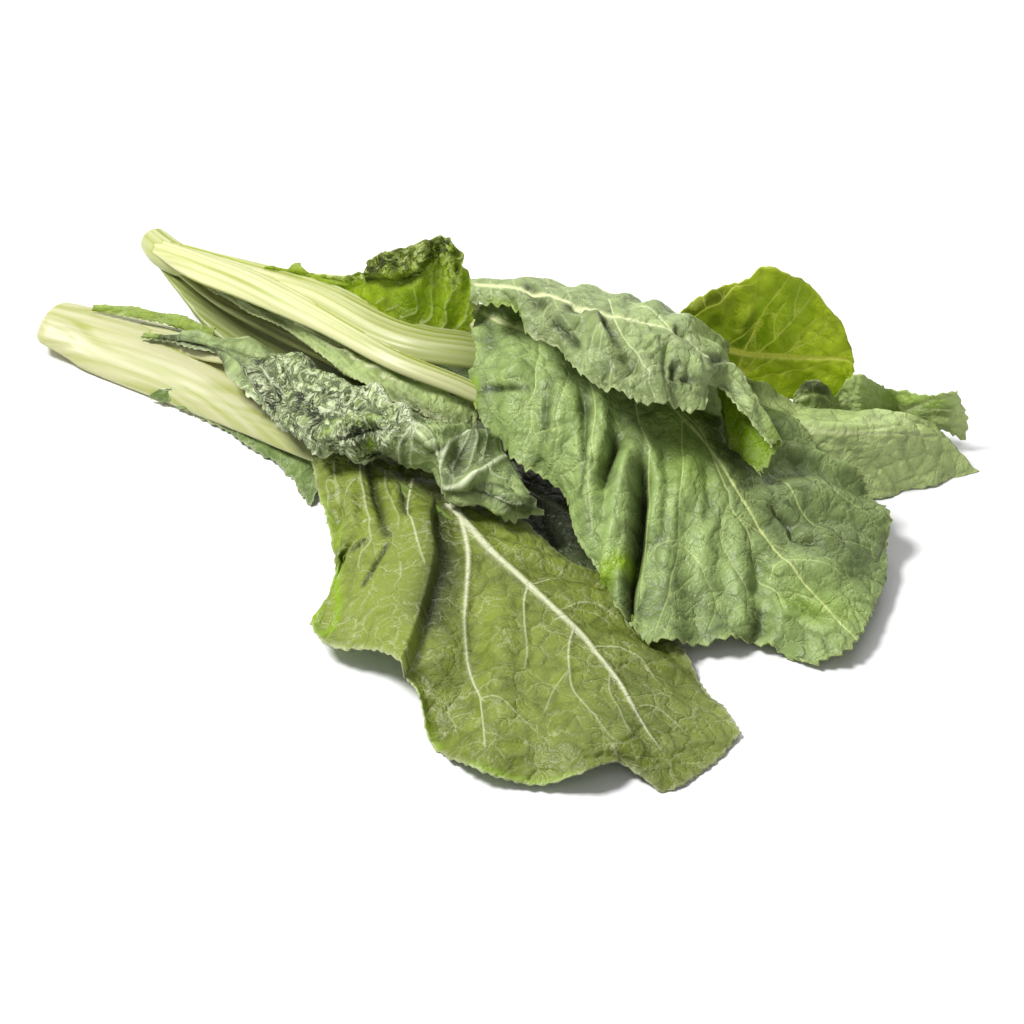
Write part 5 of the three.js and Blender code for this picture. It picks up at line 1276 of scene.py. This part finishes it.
def add_stalks(node, name, skin):
    """A head's stalks, grown together in one body at the butt."""
    whole, *others = [swept_stalk(f"{name}_{i}", stalk, skin, seed=STALK_SEED + i)
                      for i, stalk in enumerate(STALKS[node])]
    holder = bpy.data.collections.new(name)
    bpy.context.scene.collection.children.link(holder)
    for part in others:
        for home in part.users_collection:
            home.objects.unlink(part)
        holder.objects.link(part)
    join = whole.modifiers.new("join", "BOOLEAN")
    join.operation = "UNION"
    join.operand_type = "COLLECTION"
    join.collection = holder
    join.solver = "MANIFOLD"
    bpy.ops.object.select_all(action="DESELECT")
    bpy.context.view_layer.objects.active = whole
    whole.select_set(True)
    bpy.ops.object.modifier_apply(modifier=join.name)
    for part in others:
        mesh = part.data
        bpy.data.objects.remove(part)
        bpy.data.meshes.remove(mesh)
    bpy.data.collections.remove(holder)
    whole.name = name
    whole.data.name = name
    belongs(whole, node)


def add(tree, kind, inputs, output=0, **settings):
    """Adds a node and gives an output of it. An input is a value, or the socket that feeds it."""
    node = tree.nodes.new(kind)
    for name, value in settings.items():
        setattr(node, name, value)
    for socket, value in inputs.items():
        if isinstance(value, bpy.types.NodeSocket):
            tree.links.new(value, node.inputs[socket])
        else:
            node.inputs[socket].default_value = value
    return node.outputs[output] if node.outputs else None


def empty_material(name):
    """A material with its nodes cleared."""
    material = bpy.data.materials.new(name)
    material.use_nodes = True
    material.node_tree.nodes.clear()
    return material, material.node_tree


def scaled_colour(colour, factor):
    """A colour made darker or lighter."""
    return tuple(min(1, c * factor) for c in colour[:3]) + (1,)


def leaf_patterns(tree):
    """Patterns of a leaf's skin on its flat places: blotches, grain, winding ridges, two nets of veins."""
    flat = add(tree, "ShaderNodeUVMap", {})
    blotch = add(tree, NOISE, {"Vector": flat, "Scale": UV_SPAN / BLOTCH, "Detail": 4, "Roughness": 0.6},
                 noise_dimensions="2D")
    bent = add(tree, "ShaderNodeVectorMath", {
        0: blotch.node.outputs["Color"], 1: (NET_BEND / UV_SPAN, NET_BEND / UV_SPAN, 0), 2: flat},
        operation="MULTIPLY_ADD")
    speck = add(tree, NOISE, {"Vector": flat, "Scale": UV_SPAN / SPECK, "Detail": 3, "Roughness": 0.6},
                noise_dimensions="2D")
    grain = add(tree, VORONOI, {"Vector": flat, "Scale": UV_SPAN / GRAIN, "Smoothness": 0.6},
                feature="SMOOTH_F1", voronoi_dimensions="2D")
    winding = add(tree, NOISE, {"Vector": bent, "Scale": UV_SPAN / RIDGE, "Detail": 2, "Roughness": 0.55,
                                "Distortion": 0.6}, noise_dimensions="2D")
    off_ridge = add(tree, MATH, {0: winding, 1: 0.5}, operation="SUBTRACT")
    off_ridge = add(tree, MATH, {0: off_ridge}, operation="ABSOLUTE")
    patterns = {
        "blotch": blotch, "speck": speck, "grain": grain,
        "ridge": add(tree, MATH, {0: off_ridge, 1: -9, 2: 1}, operation="MULTIPLY_ADD", use_clamp=True),
        "uneven": add(tree, RANGE, {"Value": blotch, "From Min": 0.35, "From Max": 0.65, "To Min": 0.1},
                      interpolation_type="SMOOTHSTEP"),
    }
    cell = bpy.context.scene.mustard_sizes.net_cell / MM
    for net, cells, near, far in VEIN_NETS:
        gap = add(tree, VORONOI, {"Vector": bent, "Scale": UV_SPAN / (cells * cell)},
                  feature="DISTANCE_TO_EDGE", voronoi_dimensions="2D")
        patterns[net + "_line"] = add(tree, RANGE, {
            "Value": gap, "From Min": near, "From Max": far / cell, "To Min": 1, "To Max": 0},
            interpolation_type="SMOOTHSTEP")
        patterns[net + "_cushion"] = add(tree, RANGE, {"Value": gap, "From Min": 0, "From Max": 0.9 / cell},
                                         interpolation_type="SMOOTHSTEP")
    return patterns


def leaf_green(tree, colour, shade, marks, patterns):
    """Green of a skin: mottled dark and light, with painted shade in folds and painted light shining
    through.
    """
    level = add(tree, MATH, {0: marks["tone"], 1: patterns["blotch"]}, operation="ADD")
    level = add(tree, MATH, {0: patterns["speck"], 1: 0.15, 2: level}, operation="MULTIPLY_ADD")
    level = add(tree, RANGE, {"Value": level, "From Min": 0.4, "From Max": 1.4})
    green = add(tree, MIX, {0: level, 6: scaled_colour(colour, shade), 7: scaled_colour(colour, 1.2)}, 2,
                data_type="RGBA")
    # Painted shade: the crinkles' gullies and the dark tints turn nearly black
    painted_gully_shade = add(tree, RANGE, {"Value": patterns["ridge"], "From Min": 0, "From Max": 0.12, "To Min": 1,
                              "To Max": 0}, interpolation_type="SMOOTHSTEP")
    painted_gully_shade = add(tree, MATH, {0: painted_gully_shade, 1: marks["crinkle"]}, operation="MULTIPLY")
    deep = add(tree, MATH, {0: painted_gully_shade, 1: 0.75, 2: marks["deep"]}, operation="MULTIPLY_ADD", use_clamp=True)
    green = add(tree, MIX, {0: deep, 6: green, 7: scaled_colour(colour, 0.06)}, 2, data_type="RGBA")
    # Painted light: the bright tints turn the green as if light shone through the blade
    return add(tree, MIX, {0: marks["glow"], 6: green, 7: hex_colour(PAINTED_GLOW_GREEN)}, 2, data_type="RGBA")


def leaf_veining(tree, vein_share, marks, patterns):
    """How much of the veins' colour shows: veins, small veins, crests, the fine nets and the margin."""
    away = add(tree, MATH, {0: marks["thread"]}, operation="ABSOLUTE")
    thread = add(tree, RANGE, {"Value": away, "From Min": 0.16, "From Max": 0.62, "To Min": 1, "To Max": 0},
                 interpolation_type="SMOOTHSTEP")
    thread = add(tree, MATH, {0: thread, 1: marks["thread_share"]}, operation="MULTIPLY")
    crest = add(tree, RANGE, {"Value": patterns["ridge"], "From Min": 0.35, "From Max": 0.95},
                interpolation_type="SMOOTHSTEP")
    crest = add(tree, MATH, {0: crest, 1: marks["crinkle"]}, operation="MULTIPLY")
    crest = add(tree, MATH, {0: crest, 1: 0.8}, operation="MULTIPLY")
    strong = add(tree, MATH, {0: marks["vein"], 1: thread}, operation="MAXIMUM")
    strong = add(tree, MATH, {0: strong, 1: crest}, operation="MAXIMUM")
    coarse = add(tree, MATH, {0: patterns["coarse_line"], 1: 0.26}, operation="MULTIPLY")
    fine = add(tree, MATH, {0: patterns["fine_line"], 1: 0.14}, operation="MULTIPLY")
    fine = add(tree, MATH, {0: coarse, 1: fine}, operation="MAXIMUM")
    fine = add(tree, MATH, {0: fine, 1: patterns["uneven"]}, operation="MULTIPLY")
    strong = add(tree, MATH, {0: strong, 1: vein_share, 2: fine}, operation="MULTIPLY_ADD")
    strong = add(tree, MATH, {0: marks["edge"], 1: 0.4, 2: strong}, operation="MULTIPLY_ADD",
                 use_clamp=True)
    # The veins fade out where the painted shade is darkest
    lit = add(tree, RANGE, {"Value": marks["deep"], "From Min": 0.75, "From Max": 0.95, "To Min": 1,
                            "To Max": 0.1}, interpolation_type="SMOOTHSTEP")
    return add(tree, MATH, {0: strong, 1: lit}, operation="MULTIPLY")


def leaf_bump(tree, marks, patterns):
    """Relief that is finer than the mesh: specks, grain, cushions of both nets, and winding ridges."""
    small_cushion = add(tree, MATH, {0: patterns["fine_cushion"], 1: patterns["uneven"]},
                        operation="MULTIPLY")
    ridge = add(tree, MATH, {0: patterns["ridge"], 1: marks["crinkle"]}, operation="MULTIPLY")
    relief = add(tree, MATH, {0: patterns["speck"], 1: 0.16}, operation="MULTIPLY")
    for part, height in ((patterns["grain"], -0.16), (patterns["coarse_cushion"], 0.28),
                         (small_cushion, 0.18), (ridge, 1.1)):
        relief = add(tree, MATH, {0: part, 1: height, 2: relief}, operation="MULTIPLY_ADD")
    return add(tree, "ShaderNodeBump", {"Height": relief, "Strength": 1, "Distance": 1 * MM})


# Skins of the leaves: colour, how far shade darkens it, colour of its veins, how much the veins show,
# share of the light that passes through, roughness
SKINS = {
    # Upper side with a thin waxy bloom, which takes the shine off and greys the green
    "blue_upper_side": ("blue_leaf", 0.44, "#cbd88a", 1.4, 0.1, 0.4),
    "pale_upper_side": ("pale_leaf", 0.5, "#d9e2a8", 1.3, 0.1, 0.4),
    "grey_upper_side": ("grey_leaf", 0.5, "#c9d3a5", 0.6, 0.1, 0.46),
    "soft_upper_side": ("soft_leaf", 0.7, "#c6d196", 1.0, 0.12, 0.46),
    # Undersides are duller, with the veins standing out nearly white
    "olive_underside": ("olive_leaf", 0.52, "#e6e8c2", 0.9, 0.15, 0.42),
    "grey_underside": ("pale_leaf", 0.42, "#dfe6c0", 0.85, 0.08, 0.46),
    "light_underside": ("light_leaf", 0.66, "#c9d592", 0.7, 0.35, 0.46),
    # Near leaf: a lighter skin, painted light where the leaf lies in shade under the petiole
    "near_side": ("soft_leaf", 0.8, "#eef0c0", 1.0, 0.3, 0.46),
    # Thin young leaf lit from behind: light passes through it, and its colour is lightened as painted light
    "bright_side": ("bright_leaf", 0.6, "#dfe8a0", 0.9, 0.5, 0.46),
    "lit_side": ("lit_leaf", 0.7, "#f4f28a", 2.2, 0.5, 0.46),
}


def leaf_skin(name):
    """Skin of one side of a leaf: mottled green with pale veins, thin enough to let light through."""
    if name in bpy.data.materials:
        return bpy.data.materials[name]
    choice, shade, vein_code, vein_share, through_share, rough = SKINS[name]
    colour = getattr(bpy.context.scene.mustard_colours, choice)
    material, tree = empty_material(name)
    marks = {mark: add(tree, "ShaderNodeAttribute", {}, "Fac", attribute_name=mark)
             for mark in ("tone", "vein", "thread", "thread_share", "edge", "glow", "deep", "crinkle")}
    patterns = leaf_patterns(tree)
    green = leaf_green(tree, colour, shade, marks, patterns)
    veining = leaf_veining(tree, vein_share, marks, patterns)
    bump = leaf_bump(tree, marks, patterns)
    coloured = add(tree, MIX, {0: veining, 6: green, 7: hex_colour(vein_code)}, 2, data_type="RGBA")
    shine = add(tree, RANGE, {"Value": patterns["speck"], "To Min": rough - 0.06, "To Max": rough + 0.1})
    surface = add(tree, PRINCIPLED, {
        "Base Color": coloured, "Roughness": shine, "Normal": bump, "Specular IOR Level": 0.35})
    passed = add(tree, MIX, {0: 0.35, 6: coloured, 7: hex_colour(PASSED_GREEN)}, 2, data_type="RGBA")
    # Light that really passes through the blade, coloured green
    glow = add(tree, "ShaderNodeBsdfTranslucent", {"Color": passed, "Normal": bump})
    mixed = add(tree, "ShaderNodeMixShader", {0: through_share, 1: surface, 2: glow})
    add(tree, "ShaderNodeOutputMaterial", {"Surface": mixed})
    return material


def stalk_skin(name, choice):
    """Skin of the stalks: pale and moist, so a little light goes in, with lengthwise green stripes."""
    colours = bpy.context.scene.mustard_colours
    material, tree = empty_material(name)
    flat = add(tree, "ShaderNodeUVMap", {})
    green = add(tree, "ShaderNodeAttribute", {}, "Fac", attribute_name="green")
    rib = add(tree, "ShaderNodeAttribute", {}, "Fac", attribute_name="rib")
    stripes, fibres = [
        add(tree, NOISE, {
            "Vector": add(tree, "ShaderNodeMapping", {
                "Vector": flat, "Scale": (UV_SPAN / length, UV_SPAN / width, 1)}),
            "Scale": 1, "Detail": detail, "Roughness": roughness})
        for length, width, detail, roughness in (STRIPES, FIBRES)]
    band = add(tree, RANGE, {"Value": stripes, "From Min": 0.46, "From Max": 0.74})
    furrow = add(tree, RANGE, {"Value": rib, "From Min": 0.12, "From Max": 0.6, "To Min": 1, "To Max": 0})
    band = add(tree, MATH, {0: furrow, 1: 0.95, 2: band}, operation="MULTIPLY_ADD")
    band = add(tree, MATH, {0: band, 1: 0.7}, operation="MULTIPLY", use_clamp=True)
    striped = add(tree, MIX, {0: band, 6: getattr(colours, choice)[:], 7: colours.stalk_stripe[:]}, 2,
                  data_type="RGBA")
    greener = add(tree, MIX, {0: green, 6: striped, 7: colours.stalk_green[:]}, 2, data_type="RGBA")
    thread = add(tree, RANGE, {
        "Value": fibres, "From Min": 0.3, "From Max": 0.7, "To Min": 0.93, "To Max": 1.03})
    skin = add(tree, "ShaderNodeVectorMath", {0: greener, "Scale": thread}, operation="SCALE")
    height = add(tree, MATH, {0: fibres, 1: 0.6, 2: rib}, operation="MULTIPLY_ADD")
    bump = add(tree, "ShaderNodeBump", {"Height": height, "Strength": 0.5, "Distance": 0.2 * MM})
    surface = add(tree, PRINCIPLED, {
        "Base Color": skin, "Roughness": 0.4, "Normal": bump, "Specular IOR Level": 0.4,
        "Subsurface Weight": 0.25, "Subsurface Radius": (0.9, 1.0, 0.5), "Subsurface Scale": 2 * MM})
    add(tree, "ShaderNodeOutputMaterial", {"Surface": surface})
    return material


def add_floor():
    """A pale floor of matt white paper, which takes soft shadows and no shine."""
    bpy.ops.object.select_all(action="DESELECT")
    bpy.ops.mesh.primitive_plane_add(size=FLOOR_SIZE)
    floor = bpy.context.object
    floor.name = "floor"
    material, tree = empty_material("white_paper")
    paper = add(tree, PRINCIPLED, {"Base Color": hex_colour(PAPER_WHITE), "Roughness": 0.9})
    add(tree, "ShaderNodeOutputMaterial", {"Surface": paper})
    floor.data.materials.append(material)


def add_world():
    """Even white light from all sides."""
    world = bpy.data.worlds.new("soft_room")
    world.use_nodes = True
    world.node_tree.nodes.clear()
    sky = add(world.node_tree, "ShaderNodeBackground", {"Color": (1, 1, 1, 1), "Strength": WORLD_LIGHT})
    add(world.node_tree, "ShaderNodeOutputWorld", {"Surface": sky})
    bpy.context.scene.world = world


def aim(thing, place):
    """Puts a light or camera at a layout place in millimetres and points it at the bunch."""
    cos, sin = math.cos(LAYOUT_TURN), math.sin(LAYOUT_TURN)
    middle = Vector(LAYOUT_SHIFT) * MM
    turned = Vector((place[0] * cos - place[1] * sin, place[0] * sin + place[1] * cos, place[2]))
    thing.location = middle + turned * MM
    thing.rotation_euler = (middle - thing.location).to_track_quat("-Z", "Y").to_euler()


def add_lights():
    """Soft lights: a high window on the left, a wide one behind and a weak fill in front."""
    for name, place, size, power in LIGHTS:
        bpy.ops.object.light_add(type="AREA")
        lamp = bpy.context.object
        lamp.name = name
        lamp.data.size = size
        lamp.data.energy = power
        aim(lamp, place)


def add_camera():
    """The camera at the photograph's viewing angle."""
    bpy.ops.object.camera_add()
    camera = bpy.context.object
    camera.name = "camera"
    aim(camera, (0, -VIEW_DISTANCE * math.cos(VIEW_ELEVATION), VIEW_DISTANCE * math.sin(VIEW_ELEVATION)))
    camera.data.lens = VIEW_LENS
    camera.data.sensor_width = SENSOR_WIDTH
    camera.data.clip_end = VIEW_END
    bpy.context.scene.camera = camera
    bpy.context.scene.view_settings.view_transform = "Standard"


class MUSTARD_OT_stage(bpy.types.Operator):
    """Adds the pale floor, the soft light and the camera"""
    bl_idname = "mustard.stage"
    bl_label = "Floor, light and camera"

    def execute(self, context):
        add_floor()
        add_world()
        add_lights()
        add_camera()
        return {"FINISHED"}


class MUSTARD_OT_front_stalks(bpy.types.Operator):
    """Adds the front head's pale stalks"""
    bl_idname = "mustard.front_stalks"
    bl_label = "Front stalks"

    def execute(self, context):
        add_stalks("front_head_stalks", "front_stalks",
                   stalk_skin("pale_stalk_skin", "front_stalk"))
        return {"FINISHED"}


class MUSTARD_OT_back_stalks(bpy.types.Operator):
    """Adds the back head's yellow-green stalks"""
    bl_idname = "mustard.back_stalks"
    bl_label = "Back stalks"

    def execute(self, context):
        add_stalks("back_head_stalks", "back_stalks",
                   stalk_skin("yellow_stalk_skin", "back_stalk"))
        return {"FINISHED"}


class MUSTARD_OT_front_leaves(bpy.types.Operator):
    """Adds the front head's leaves"""
    bl_idname = "mustard.front_leaves"
    bl_label = "Front leaves"

    def execute(self, context):
        for name in LEAVES:
            if name.startswith("front"):
                add_leaf(name)
        return {"FINISHED"}


class MUSTARD_OT_back_leaves(bpy.types.Operator):
    """Adds the back head's leaves"""
    bl_idname = "mustard.back_leaves"
    bl_label = "Back leaves"

    def execute(self, context):
        for name in LEAVES:
            if name.startswith("back"):
                add_leaf(name)
        return {"FINISHED"}


class MUSTARD_PT_bunch(bpy.types.Panel):
    """Lists the bunch's parts, sizes and colours"""
    bl_label = "Leaf mustard"
    bl_idname = "MUSTARD_PT_bunch"
    bl_space_type = "VIEW_3D"
    bl_region_type = "UI"
    bl_category = "Mustard"

    def draw(self, context):
        for operator in OPERATORS:
            self.layout.operator(operator.bl_idname)
        for group in (context.scene.mustard_sizes, context.scene.mustard_colours):
            for name in group.__annotations__:
                self.layout.prop(group, name)


OPERATORS = (MUSTARD_OT_stage, MUSTARD_OT_front_stalks, MUSTARD_OT_back_stalks,
             MUSTARD_OT_front_leaves, MUSTARD_OT_back_leaves)
CLASSES = (MustardSizes, MustardColours, *OPERATORS, MUSTARD_PT_bunch)


def register():
    for each in CLASSES:
        bpy.utils.register_class(each)
    bpy.types.Scene.mustard_sizes = bpy.props.PointerProperty(type=MustardSizes)
    bpy.types.Scene.mustard_colours = bpy.props.PointerProperty(type=MustardColours)


def unregister():
    del bpy.types.Scene.mustard_colours
    del bpy.types.Scene.mustard_sizes
    for each in reversed(CLASSES):
        bpy.utils.unregister_class(each)


def main():
    register()
    bpy.ops.mustard.stage()
    bpy.ops.mustard.front_stalks()
    bpy.ops.mustard.back_stalks()
    bpy.ops.mustard.front_leaves()
    bpy.ops.mustard.back_leaves()


if __name__ == "__main__":
    main()
